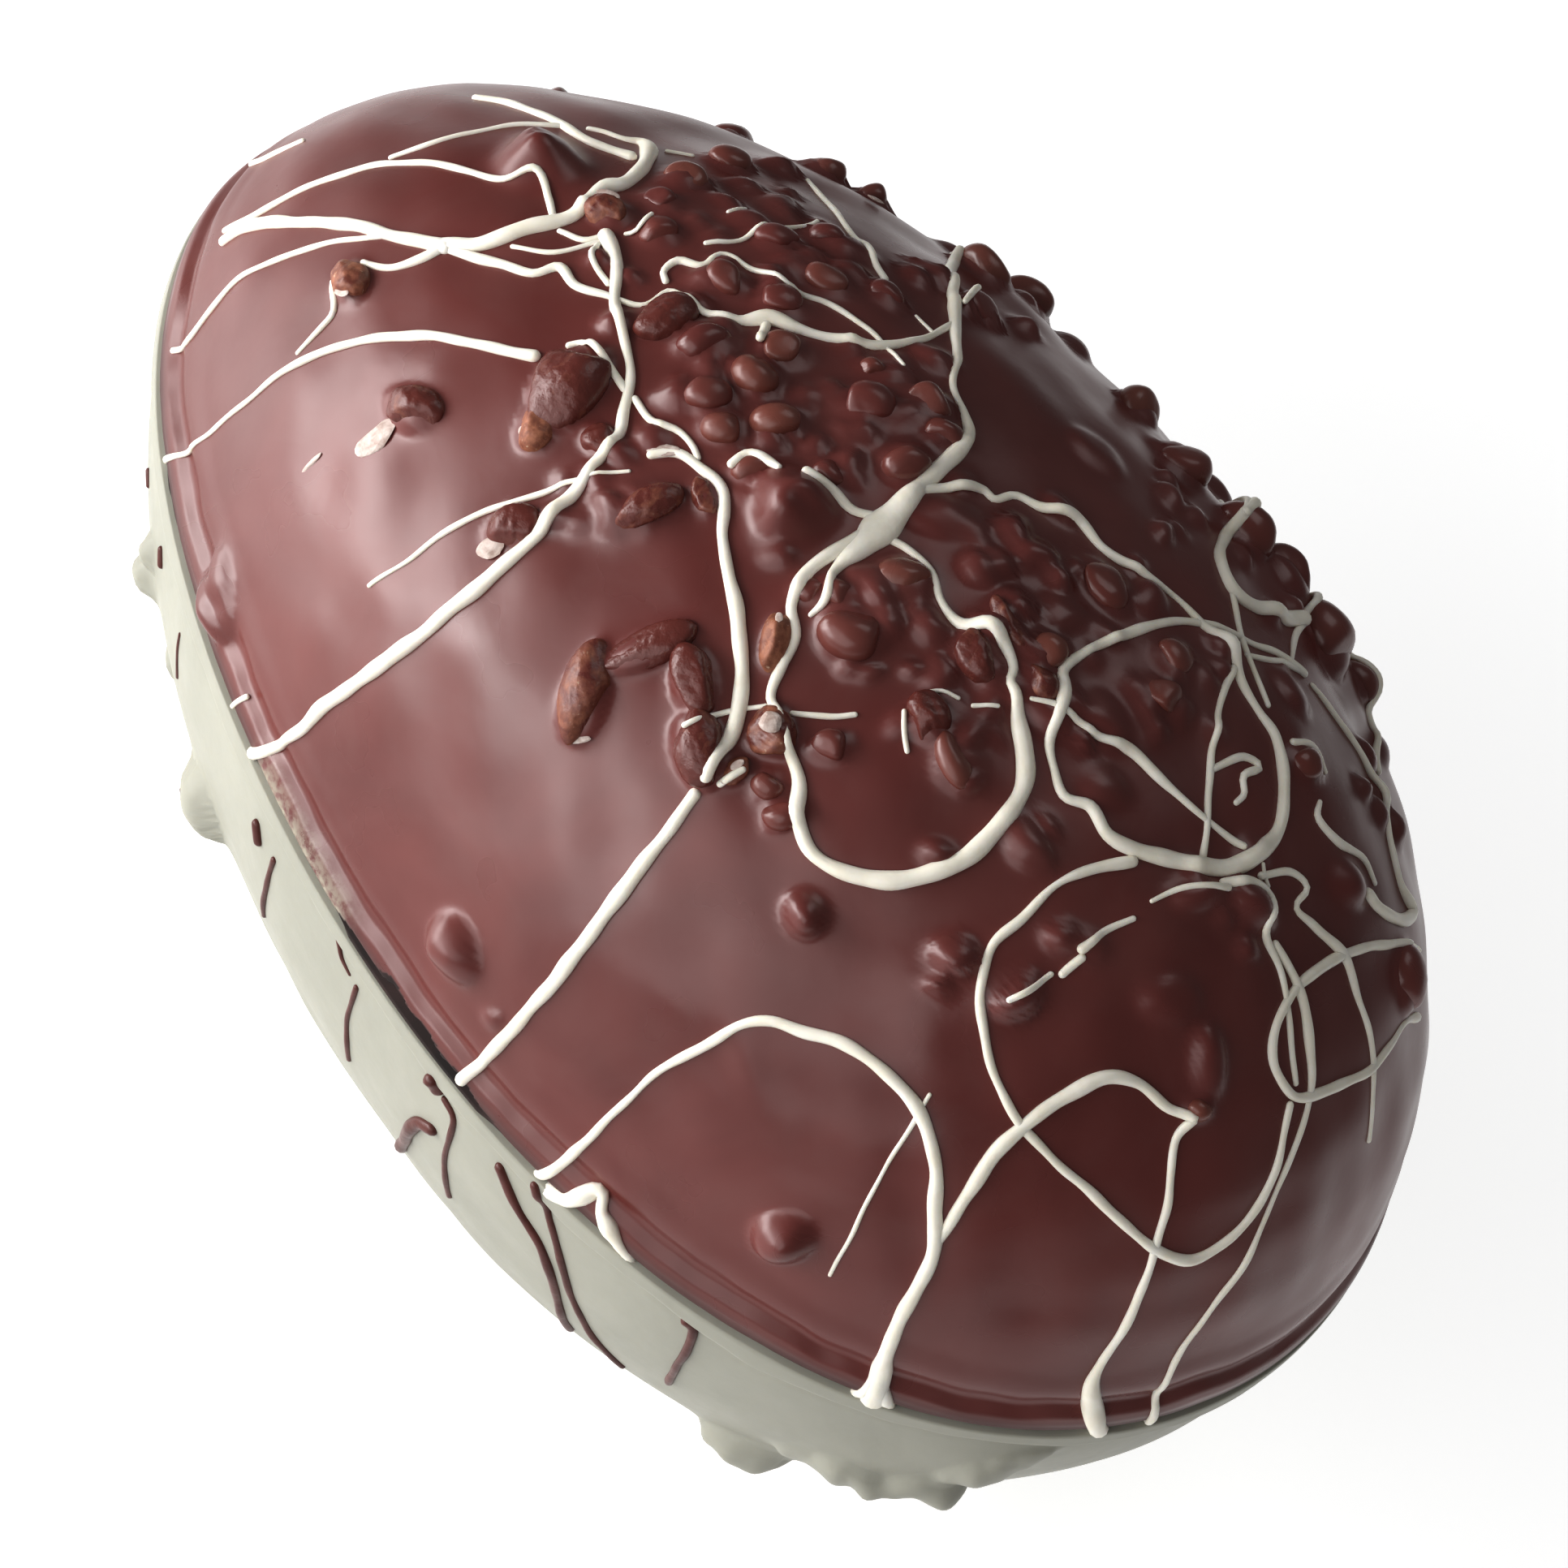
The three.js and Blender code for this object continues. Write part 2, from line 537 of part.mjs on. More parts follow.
function darkHalf() {
  const lumps = [...DARK_LUMPS.map(makeLump), ...farCrisps()];
  const planStrands = Object.values(WHITE_DRIZZLE).map((path) =>
    path.map(([across, down, width]) => [dropFromPlan([across, down]), width]),
  );
  const strands = [...planStrands, ...farStrands()].map((path) => strandSolid(path, lumps));
  const pieces = [halfEgg(DARK_FULLNESS, DARK_LIP, false), ...lumps.map(lumpSolid), ...strands];
  return fuse(pieces, SEAM_GAP / 2, EGG_WIDTH);
}

function whiteHalf() {
  const lumps = [...WHITE_LUMPS.map(makeLump), ...whiteScatter()];
  const pieces = [halfEgg(WHITE_FULLNESS, WHITE_LIP, true), ...lumps.map(lumpSolid)];
  return fuse(pieces, -SEAM_HEIGHT, -SEAM_GAP / 2);
}

// ---- Materials ----
const darkChocolate = new THREE.MeshStandardMaterial({ color: 0x5c332a, roughness: 0.38, metalness: 0 });
const whiteChocolate = new THREE.MeshStandardMaterial({ color: 0xe6dfc8, roughness: 0.42, metalness: 0 });

// ---- The egg ----
function namedMesh(name, solid, material) {
  const mesh = new THREE.Mesh(toGeometry(solid), material);
  mesh.name = name;
  return mesh;
}

const egg = new THREE.Group();
egg.add(namedMesh("dark_half", darkHalf(), darkChocolate));
egg.add(namedMesh("white_half", whiteHalf(), whiteChocolate));
egg.position.z = SEAM_HEIGHT;

export default egg;
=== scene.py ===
import math
from collections import namedtuple
from dataclasses import dataclass

import bmesh
import bpy
import numpy as np
from mathutils import Matrix, Vector


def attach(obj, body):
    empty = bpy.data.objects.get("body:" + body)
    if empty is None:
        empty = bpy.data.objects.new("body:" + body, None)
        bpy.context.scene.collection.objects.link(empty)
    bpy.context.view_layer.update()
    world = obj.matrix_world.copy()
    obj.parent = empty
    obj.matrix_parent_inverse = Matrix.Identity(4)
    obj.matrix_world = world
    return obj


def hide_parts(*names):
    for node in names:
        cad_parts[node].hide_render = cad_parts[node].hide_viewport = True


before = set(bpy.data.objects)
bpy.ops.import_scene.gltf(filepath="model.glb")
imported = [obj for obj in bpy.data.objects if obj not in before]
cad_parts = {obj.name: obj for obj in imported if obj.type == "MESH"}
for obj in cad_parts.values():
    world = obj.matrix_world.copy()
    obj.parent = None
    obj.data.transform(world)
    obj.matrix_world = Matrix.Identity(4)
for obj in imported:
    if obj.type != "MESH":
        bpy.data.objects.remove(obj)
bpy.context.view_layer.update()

MM = 0.001

# ---- The egg, as in the CAD ----
EGG_LENGTH = 200.0
EGG_WIDTH = 130.0
WIDEST_AT = 14.0
DARK_FULLNESS = 1.045
WHITE_FULLNESS = 1.0
SEAM_GAP = 0.3
REST_FLAT_DEPTH = 1.5
SEAM_HEIGHT = EGG_WIDTH / 2 * WHITE_FULLNESS - REST_FLAT_DEPTH

# The moulded edges: height above the seam, and how far the surface stands out there.
DARK_LIP = [
    (0.15, 0.1), (0.6, 0.6), (1.4, 1), (2.6, 1.1), (3.8, 0.9), (4.6, 0.3), (5.4, -0.25),
    (6.2, -0.25), (7.4, 0.2), (8.6, 0.35), (9.6, 0.25), (11.5, 0),
]
WHITE_LIP = [(0.15, 1), (0.5, 1.2), (2.6, 1.15), (3.2, 0.8), (3.8, 0.15), (4.4, -0.1), (5.5, 0)]

# Where the dark half's foot is broken away on the near side, leaving a groove: the middle, half
# length and height of each along the rim.
FOOT_GAPS = [(8.0, 21.0, 2.6), (-66.0, 6.0, 1.2)]
FOOT_GAP_DEPTH = 2.6
FOOT_SILL = 0.8          # what is left of the foot under the groove: its height
FOOT_SILL_OUT = 0.9      # and how far it stands out
FOOT_SHADE = (3.6, 0.6)  # the dull band along the foot, painted dark as shade: its height, and how dark it is painted
# A pale smear on the near side of the dark half's foot: the middle, half length and height.
SMEAR = (-19.0, 14.0, 5.0)

# ---- The layout plan, as in the CAD ----
PLAN_UNIT = 1 / 9.834
PLAN_MIDDLE = (928.7, 936.0)
PLAN_SIZE = 1932
PLAN_AZIMUTH = math.radians(21.36)
PLAN_ELEVATION = math.radians(52)
PLAN_ROLL = math.radians(34.18)
PLAN_DISTANCE = 1500.0

# Each lump: across, down (plan units), length, width, height (mm), spin (degrees).
# Lumps on the dark half that are wholly under the chocolate.
BURIED = [
    (276, 735, 12, 7, 2.2, 75), (718, 643, 5.5, 4, 1, 0), (736, 590, 4.2, 3, 1, 60),
    (1445, 1234, 8, 6.6, 1.2, 0), (1490, 1310, 10, 5, 1.6, 80), (1477, 1105, 8, 4.4, 1.8, -10),
    (1541, 1114, 7, 5, 2.2, 20), (564, 1169, 9, 8, 2.7, 40), (738, 321, 4, 2.8, 1.4, 80),
    (993, 1127, 6, 5.2, 2.6, 40), (610, 1258, 3.4, 3, 0.8, 0), (966, 1525, 8, 7.4, 3.2, 30),
    (1178, 1177, 6, 5.4, 2.7, 0), (1160, 1213, 3.4, 3, 1.2, 0), (1257, 1231, 7, 5, 2.6, -30),
    (915, 230, 5, 3.6, 1.2, 20), (925, 276, 6, 4, 1.4, 0), (1150, 445, 6, 4.5, 1.2, 0),
    (1163, 635, 11, 7, 1.6, 0), (1247, 655, 5.4, 5, 1.6, 0), (1279, 686, 6, 4.6, 1.5, 30),
    (1351, 560, 8, 6, 0.9, 40), (1310, 758, 6, 5, 0.9, 0), (1415, 740, 6, 5, 1.3, 0),
    (1360, 880, 6.4, 5.4, 1.4, 0), (1364, 970, 6, 5, 0.9, 0), (1197, 908, 6, 3, 1.4, -50),
    (1344, 1168, 4.4, 3.8, 1.2, 0), (1588, 853, 6.6, 5.4, 1.4, 50), (1660, 1090, 7, 6, 1.6, 0),
    (1310, 1157, 5.4, 4.4, 1.6, 0), (1266, 1042, 7.4, 5.4, 1.8, 40),
]
# Mounds drawn up to a point.
PEAKS = [(668, 200, 14, 12, 4.4, 80), (978, 626, 13, 11.5, 5, 50)]
# Crisps that stand out of the chocolate, coated with it.
CRISPS = [
    (947, 969, 4.4, 4, 1.6, 0), (965, 1005, 5, 4.4, 1.8, 0), (1477, 1368, 3.8, 3.2, 1.8, 0),
    (845, 225, 6, 5, 2.4, 20), (813, 253, 4.6, 3.8, 1.8, 0), (899, 201, 6, 4.8, 2.2, 0),
    (810, 289, 5.6, 4.6, 2.2, -20), (893, 349, 7, 4.6, 2.6, 50), (868, 427, 7.6, 5.8, 2.6, -5),
    (956, 302, 6.6, 5, 2.2, 0), (1018, 299, 5.6, 4.6, 2.4, 60), (960, 374, 6.2, 5, 2, 0),
    (1019, 349, 6.4, 5.4, 2, 0), (1091, 368, 5.4, 4.2, 2, 60), (962, 432, 6, 5, 2.2, 0),
    (931, 469, 6.6, 6, 2.8, 30), (872, 493, 6.6, 6, 2.6, 0), (893, 533, 6, 5, 2.4, 0),
    (958, 525, 7, 5, 2.6, 0), (1068, 503, 7.6, 6.4, 2.8, -15), (1143, 500, 7.6, 5.4, 2.6, 15),
    (1076, 458, 4, 3.4, 1.6, 0), (1163, 539, 5.4, 4.4, 2, 0), (1118, 576, 7.2, 5.4, 2.8, -30),
    (1022, 587, 4.8, 4, 1.8, 0), (930, 584, 6, 4.6, 2.2, 0), (1001, 732, 4, 3.4, 1.4, 0),
    (1037, 735, 5.4, 4.6, 2.2, 60), (1114, 717, 7.4, 6.4, 2.6, 0), (1050, 784, 9, 7.4, 3, 20),
    (1361, 722, 8, 6, 2, 70), (1290, 806, 5.8, 4.8, 2.1, -30), (1446, 814, 6, 5.2, 1.9, 0),
    (1432, 861, 6, 4.8, 2, 0), (1025, 921, 5, 4.4, 1.8, 0), (1175, 940, 8, 4.4, 1.8, 75),
    (1606, 944, 6, 5, 2, 0), (1022, 212, 6.4, 5.6, 3.2, 0), (1076, 250, 5.4, 5, 2.8, 0),
    (1204, 385, 6.4, 5.4, 2.6, 0), (1207, 345, 8.4, 7, 3.6, 20), (1262, 378, 8.6, 7.4, 3.6, 20),
    (1400, 508, 6.6, 6, 3.2, 20), (1452, 580, 8, 7, 3.6, 30), (1524, 664, 9.6, 8, 4, 60),
    (1574, 720, 9.4, 8, 4, 40), (1622, 790, 10.5, 9, 4.2, 50), (1668, 842, 7, 6, 3.2, 60),
    (1732, 1206, 9, 7.4, 2.6, 80),
]
# Nuts and other broken bits, with a last value for how bare of chocolate each is, from 0 to 1.
NUTS = [
    (702, 478, 12.5, 8.6, 4, 117, 0.35), (740, 546, 4.4, 4, 1.8, 60, 0.2),
    (800, 803, 12, 4.8, 2.8, -23, 0.3), (858, 840, 9, 5.2, 3, 75, 0.3),
    (865, 925, 10, 6.4, 3.2, 75, 0.4), (820, 394, 8, 6, 2.8, -30, 0.1),
    (750, 266, 6, 4.6, 2.6, 30, 0.6), (433, 347, 6, 4.8, 2.6, 60, 0.7),
    (512, 507, 8, 5.6, 2.8, 20, 0.4), (664, 529, 6, 4.6, 2.6, 100, 0.9),
    (636, 650, 6.6, 5, 2.4, -10, 0.2), (802, 631, 8.6, 4.6, 2.7, -27, 0.5),
    (871, 616, 5.4, 3, 2, 75, 0.5), (726, 858, 12.5, 6.2, 3.4, 103, 0.6),
    (953, 905, 6.4, 5.4, 2.8, 80, 0.6), (958, 792, 7.4, 3.4, 2.5, 100, 0.9),
    (1203, 810, 7.2, 4.8, 2.6, 70, 0.4), (1241, 772, 7.6, 3, 2, 65, 0.5),
    (1281, 845, 5, 3.8, 2.1, 60, 0.5), (1143, 888, 6.2, 5.2, 3, 80, 0.3),
    (909, 952, 4.4, 3, 1.6, -20, 0.7),
]
# Pale chips and broken faces lying on the chocolate, the height being that of their middle.
PALE_CHIPS = [
    (467, 541, 6.4, 3.4, 0.25, -22), (609, 678, 3.8, 2.6, 0.6, -15), (718, 912, 3.2, 1.4, 0.9, 10),
    (955, 897, 2.9, 2.4, 3, 20), (903, 962, 2, 0.9, 1.6, -30), (914, 946, 1.8, 1, 1.7, -30),
    (1073, 258, 2.2, 1.3, 1.4, 10), (822, 560, 4.2, 1.6, 0.9, 5), (652, 540, 2, 1.4, 1.3, 60),
    (750, 258, 3, 1.6, 2.2, 40), (429, 367, 2.2, 1.2, 1.4, 30), (963, 770, 1.4, 0.9, 2.2, 90),
    (385, 572, 3.6, 0.8, 0.1, -28),
]
# Broad low rises of chocolate under the crowded places.
SWELLS = [
    (972, 660, 17, 14, 0.9, 50), (865, 890, 19, 11, 0.8, 75), (900, 490, 24, 17, 0.7, 40),
    (1115, 530, 20, 15, 0.7, -20), (1060, 775, 19, 14, 0.8, 10), (1170, 925, 16, 12, 0.9, 60),
    (1255, 810, 20, 13, 0.7, 40), (806, 620, 17, 12, 0.7, 10), (960, 330, 28, 17, 0.7, 30),
    (715, 515, 17, 12, 0.6, 110), (1440, 840, 16, 14, 0.5, 60), (1290, 680, 22, 14, 0.5, 30),
    (840, 250, 16, 12, 0.6, 20), (1530, 1110, 16, 9, 0.6, 10), (1260, 1200, 18, 11, 0.5, -30),
    (566, 1175, 16, 14, 0.6, 40), (920, 1310, 13, 6, 0.5, 75), (1590, 900, 18, 12, 0.6, 60),
    (1050, 245, 26, 14, 0.9, 30), (1235, 365, 22, 14, 1, 30), (1430, 550, 22, 12, 0.7, 45),
    (1545, 690, 26, 14, 1.4, 50), (1640, 810, 24, 14, 1.4, 50),
]
# Small crisps sunk between the others: the middle and spread (plan units) of each crowd, and how
# many it has.
CROWDS = [
    (960, 320, 110, 50, 28), (880, 480, 60, 60, 16), (1110, 510, 60, 60, 20),
    (1230, 370, 60, 30, 10), (1060, 775, 60, 60, 16), (1180, 900, 60, 60, 14),
    (1270, 700, 90, 50, 14), (1300, 860, 80, 70, 16), (1440, 830, 60, 60, 12),
    (800, 620, 50, 30, 8), (1560, 1110, 50, 30, 8), (1480, 630, 50, 50, 10),
    (1610, 790, 50, 50, 10), (1695, 980, 20, 60, 6),
]
CROWD_SIZES = (2.8, 5.8)       # from the smallest to the largest
CROWD_WIDTH = 0.8              # over length
CROWD_HEIGHTS = (0.18, 0.36)   # over length
# Lumps and low rises on the white half.
WHITE_LUMPS = [
    (190, 681, 4, 3.6, 2, 80), (182, 709, 5.6, 5, 3, 80), (176, 728, 4, 3, 1.6, 40),
    (250, 990, 9, 8, 3.8, 70), (238, 968, 5, 4, 2.6, 20), (262, 1018, 5, 4, 2, 60),
    (906, 1776, 11, 8, 3, 20), (934, 1788, 6, 5, 2.8, 0), (1000, 1790, 9, 6, 1, 0),
    (1050, 1800, 11, 8, 2.9, 0), (1088, 1808, 7, 6, 3.4, 40), (1128, 1812, 11, 8, 3.3, 0),
    (1160, 1814, 7, 6, 3.8, 20), (1214, 1800, 11, 7, 2.1, -10), (1258, 1790, 8, 5, 1.3, 0),
]
WHITE_SWELLS = [
    (1110, 1800, 26, 13, 1.6, 0), (930, 1780, 17, 11, 1.2, 30), (1200, 1790, 18, 9, 1, 0),
]

# Drizzle: each bead's way over the shell as across, down (plan units) and width (mm).
WHITE_DRIZZLE = {
    "tip_bow": [(277, 298, 1.5), (304, 281, 1.8), (329, 275, 1.8), (373, 273, 1.7), (440, 280, 1.7),
        (506, 294, 1.8), (550, 304, 2)],
    "shoulder_loop": [(546, 303, 2.2), (585, 302, 2.3), (615, 294, 2.2), (654, 281, 2.2),
        (713, 264, 2.2), (746, 235, 2.2), (767, 231, 2), (785, 216, 2.1), (797, 198, 2.2),
        (800, 182, 2.3), (792, 172, 1.4), (772, 168, 0.9), (746, 160, 0.9), (726, 156, 0.8)],
    "skyline_start": [(313, 204, 0.9), (340, 188, 1), (372, 174, 0.8)],
    "skyline": [(587, 119, 1), (615, 122, 1.2), (644, 131, 1.3), (691, 150, 1.3), (731, 175, 1.4),
        (777, 194, 1.6)],
    "tip_arc_high": [(483, 196, 0.8), (526, 184, 0.8), (577, 167, 0.8), (628, 154, 0.8),
        (700, 153, 0.9)],
    "tip_arc_low": [(278, 285, 1), (317, 263, 1), (368, 237, 1), (419, 217, 1), (470, 204, 1),
        (526, 207, 1), (577, 216, 1), (623, 227, 1), (664, 225, 1), (676, 245, 1), (681, 266, 1)],
    "rim_arc": [(217, 434, 0.9), (237, 418, 0.9), (258, 385, 0.85), (299, 343, 0.85),
        (350, 316, 0.85), (396, 300, 0.85), (445, 294, 0.8), (478, 290, 0.8)],
    "tip_link": [(450, 325, 0.9), (483, 328, 1.1), (522, 318, 1.3), (546, 305, 1.5)],
    "tip_tail": [(411, 349, 1), (409, 385, 1), (396, 403, 0.9), (368, 436, 0.6)],
    "tip_curve": [(199, 571, 0.9), (232, 558, 0.8), (278, 517, 0.7), (335, 471, 0.9),
        (376, 446, 1.1), (419, 426, 1.2), (470, 416, 1.3), (526, 415, 1.4), (577, 423, 1.4),
        (628, 434, 1.4), (659, 441, 1.7)],
    "crest_run": [(550, 304, 1.4), (577, 313, 1.4), (615, 325, 1.4), (659, 338, 1.3),
        (690, 330, 1.3), (710, 351, 1.2), (746, 363, 1.1), (795, 376, 0.8), (826, 359, 0.8),
        (846, 371, 0.8), (867, 389, 1), (909, 399, 1.3), (947, 396, 2.3), (983, 408, 1.6),
        (1029, 419, 1.5), (1081, 428, 1.4), (1127, 425, 1.2), (1158, 410, 1), (1172, 403, 1)],
    "crest_drop": [(945, 404, 1.3), (937, 428, 1.1)],
    "long_diagonal": [(746, 292, 2), (761, 326, 1.8), (759, 367, 1.5), (769, 418, 1.3),
        (778, 460, 1.3), (772, 507, 1.4), (764, 543, 1.5), (736, 578, 1.6), (703, 617, 1.7),
        (669, 658, 1.8), (608, 712, 2), (559, 753, 2), (517, 790, 2), (458, 831, 2),
        (406, 867, 1.9), (373, 900, 1.7), (335, 923, 1.5), (317, 928, 1.7)],
    "knot_loop": [(738, 303, 0.8), (731, 321, 0.8), (749, 349, 0.8)],
    "knot_link": [(633, 303, 0.7), (680, 312, 0.7), (738, 300, 0.7)],
    "knot_bridge": [(690, 285, 0.9), (720, 296, 0.9), (746, 290, 0.9)],
    "diagonal_spur": [(703, 428, 1), (718, 426, 1), (746, 451, 1), (772, 481, 1)],
    "hook_lead": [(784, 494, 1), (810, 525, 1), (838, 536, 0.9), (856, 555, 0.9), (861, 568, 0.9)],
    "hook_run": [(805, 566, 1.2), (838, 563, 1.3), (869, 583, 1.5), (893, 609, 1.5),
        (895, 636, 1.5), (891, 663, 1.5), (900, 712, 1.7), (911, 758, 1.9), (915, 807, 2),
        (913, 867, 2), (904, 905, 1.9), (887, 944, 1.8), (879, 961, 1.7)],
    "thin_arc": [(460, 724, 0.6), (504, 693, 0.7), (551, 656, 0.8), (603, 631, 0.9),
        (667, 610, 0.8), (715, 594, 0.6), (778, 586, 0.5)],
    "near_sweep": [(859, 980, 1.5), (833, 1015, 1.7), (787, 1077, 2), (736, 1143, 2),
        (685, 1212, 1.9), (638, 1263, 1.8), (592, 1314, 1.7), (579, 1327, 1.9)],
    "low_bow": [(659, 1448, 1.4), (692, 1435, 1.4), (720, 1412, 1.4), (751, 1378, 1.1),
        (785, 1345, 0.9), (820, 1317, 1.2), (864, 1294, 1.3), (914, 1263, 1.3), (953, 1259, 1.5),
        (994, 1275, 1.5), (1042, 1287, 1.7), (1081, 1312, 1.7), (1119, 1348, 1.7),
        (1140, 1386, 1.8), (1154, 1435, 1.8), (1155, 1486, 1.9), (1150, 1549, 2), (1129, 1590, 1.8),
        (1099, 1654, 2.1), (1086, 1690, 2.7), (1079, 1714, 3.2)],
    "low_bow_foot": [(1087, 1688, 1.6), (1068, 1706, 1.8), (1050, 1717, 1.4)],
    "low_bow_toe": [(1084, 1692, 1.8), (1092, 1714, 2), (1098, 1729, 1.5)],
    "arch": [(1152, 1535, 1.3), (1168, 1512, 1.5), (1196, 1468, 1.8), (1233, 1417, 1.9),
        (1272, 1381, 1.9), (1318, 1350, 1.9), (1367, 1330, 1.9), (1405, 1337, 1.6),
        (1441, 1366, 1.3), (1468, 1377, 1.3), (1451, 1404, 1.2), (1444, 1448, 1.1),
        (1436, 1499, 1.1), (1415, 1570, 1.2), (1385, 1639, 1.3), (1359, 1680, 1.4), (1346, 1706, 2),
        (1345, 1730, 2.8), (1352, 1756, 2.6)],
    "wide_curl": [(1395, 1062, 1.5), (1333, 1077, 1.4), (1303, 1093, 1), (1259, 1134, 1.3),
        (1223, 1167, 1.3), (1210, 1219, 1.3), (1214, 1268, 1.2), (1226, 1325, 1.2),
        (1249, 1373, 1.2), (1295, 1425, 1.2), (1341, 1468, 1.3), (1405, 1525, 1.4),
        (1451, 1551, 1.5), (1474, 1551, 1.5), (1515, 1526, 1.4), (1544, 1491, 1.3),
        (1567, 1445, 1.2), (1582, 1391, 1.1), (1588, 1362, 1.1)],
    "crown_ring": [(1075, 655, 1.8), (1035, 678, 1.9), (996, 712, 1.7), (978, 748, 1.5),
        (982, 786, 1.5), (963, 823, 1.4), (951, 862, 1.2), (970, 893, 1), (976, 926, 1.4),
        (986, 964, 1.8), (985, 1008, 1.9), (999, 1049, 1.9), (1042, 1075, 2), (1094, 1086, 2.3),
        (1145, 1080, 2.5), (1194, 1057, 2.4), (1233, 1016, 2.4), (1264, 969, 2.4), (1264, 923, 2.3),
        (1249, 859, 1.5), (1242, 844, 1.2), (1247, 828, 1.4), (1238, 803, 1.5), (1214, 779, 1.8),
        (1186, 773, 1.6), (1160, 743, 1.1), (1147, 707, 1), (1117, 678, 1), (1100, 668, 1.2)],
    "crown_branch": [(1173, 318, 1.5), (1167, 354, 1.6), (1176, 405, 1.7), (1179, 444, 1.3),
        (1173, 481, 0.9), (1188, 514, 1.3), (1194, 535, 1.8), (1178, 563, 2.2), (1142, 594, 2.5),
        (1111, 627, 3.2), (1088, 652, 4.4), (1063, 678, 3.4), (1040, 696, 2), (1027, 714, 1.3),
        (1017, 745, 1.1), (1000, 760, 0.7)],
    "crown_dash": [(1181, 385, 0.9), (1194, 373, 0.9)],
    "crisp_cap_left": [(904, 581, 1.2), (924, 568, 1.2), (953, 582, 1.2), (960, 591, 1)],
    "crown_link": [(994, 594, 1.3), (1024, 612, 1.5), (1050, 631, 1.4), (1080, 637, 1.2)],
    "far_run": [(1130, 606, 1.8), (1152, 604, 1.5), (1188, 603, 1.3), (1215, 604, 1.3),
        (1228, 614, 1.2), (1254, 610, 1.2), (1284, 625, 1.3), (1331, 644, 1.5), (1359, 676, 1.4),
        (1395, 705, 1.3), (1449, 739, 0.9), (1485, 776, 1.4), (1513, 808, 1.7), (1528, 846, 1.4),
        (1549, 880, 1.3), (1570, 910, 1.5), (1582, 985, 1.8), (1572, 1031, 2), (1533, 1064, 2.3),
        (1508, 1072, 2.5), (1456, 1062, 2.1), (1400, 1049, 2), (1364, 1031, 1.9), (1344, 995, 1.5),
        (1313, 982, 1.2), (1301, 946, 1.1), (1295, 910, 1.4), (1308, 859, 1.7), (1310, 828, 1.5),
        (1344, 804, 1.3), (1405, 777, 1.4), (1444, 768, 1.2), (1495, 775, 1), (1533, 789, 0.9),
        (1574, 804, 1.1), (1606, 831, 1.3)],
    "ring_chord": [(1515, 828, 1), (1500, 880, 1), (1492, 970, 1), (1490, 1021, 1),
        (1485, 1057, 1)],
    "squiggle": [(1495, 949, 1), (1533, 935, 1.2), (1551, 946, 1.1), (1533, 958, 1),
        (1535, 980, 0.9), (1526, 990, 0.8)],
    "thin_cross": [(1269, 867, 0.6), (1300, 875, 0.8), (1354, 907, 1.2), (1397, 925, 1.6),
        (1444, 972, 1.2), (1500, 1018, 0.9), (1533, 1043, 1)],
    "dash_a": [(1200, 872, 0.6), (1229, 875, 0.6)],
    "dash_b": [(854, 900, 0.7), (891, 882, 0.7), (945, 872, 0.7)],
    "dash_c": [(978, 880, 0.8), (1029, 885, 0.8), (1055, 881, 0.7)],
    "crisp_cap": [(1132, 860, 0.6), (1158, 854, 0.6), (1181, 864, 0.6)],
    "crisp_side": [(1114, 880, 0.7), (1114, 898, 0.8), (1119, 928, 0.7)],
    "crest_fall": [(994, 226, 0.7), (1014, 246, 0.8), (1053, 300, 0.9), (1088, 349, 1)],
    "crest_fall_end": [(1129, 391, 0.5), (1147, 410, 0.5)],
    "crest_wave": [(820, 346, 1), (818, 334, 1), (836, 323, 1.1), (866, 331, 1), (891, 319, 0.8),
        (935, 344, 0.8), (973, 364, 0.7), (1014, 374, 0.9), (1055, 398, 0.9), (1081, 416, 0.7),
        (1111, 459, 0.5)],
    "crest_thread": [(870, 304, 0.7), (909, 303, 0.7), (945, 289, 0.7), (1004, 280, 0.7)],
    "crest_dash_a": [(823, 184, 0.6), (854, 191, 0.6)],
    "crest_dash_b": [(896, 269, 0.7), (917, 264, 0.7)],
    "crest_dash_c": [(772, 290, 0.6), (785, 290, 0.6), (803, 279, 0.6)],
    "fork_left": [(1505, 619, 1.2), (1507, 655, 1.2)],
    "fork_right": [(1528, 624, 1.6), (1508, 655, 1.6)],
    "fork_stem": [(1508, 655, 1.7), (1500, 696, 1.7), (1515, 732, 1.9), (1551, 753, 2),
        (1595, 771, 2)],
    "fork_fall": [(1515, 735, 1), (1531, 791, 0.9), (1546, 836, 0.9), (1559, 872, 0.9)],
    "skyline_fall": [(1596, 725, 1.5), (1599, 753, 1.3), (1594, 784, 1), (1593, 814, 0.7)],
    "skyline_link": [(1536, 809, 0.9), (1580, 817, 0.9), (1606, 831, 0.9)],
    "broad_rise": [(1617, 846, 0.8), (1660, 900, 1.1), (1686, 946, 1.3), (1709, 1021, 1.3),
        (1722, 1090, 1.4), (1735, 1123, 1.8), (1724, 1134, 1.8), (1694, 1118, 1.5),
        (1683, 1104, 1.5)],
    "broad_comma": [(1588, 919, 1), (1611, 926, 1.2), (1629, 954, 0.8)],
    "broad_slip": [(1622, 990, 0.8), (1620, 1008, 1), (1645, 1039, 1.2), (1678, 1059, 1),
        (1691, 1090, 0.8)],
    "skyline_low": [(1653, 771, 1.2), (1668, 809, 1.2), (1673, 857, 1.2), (1694, 923, 1.2),
        (1701, 949, 1.1)],
    "broad_fall": [(1555, 1080, 1.2), (1591, 1076, 1), (1611, 1095, 0.9), (1599, 1118, 0.9),
        (1624, 1141, 1.3), (1658, 1175, 1.4), (1678, 1235, 1.1), (1692, 1300, 0.9),
        (1690, 1358, 0.8), (1687, 1406, 0.8)],
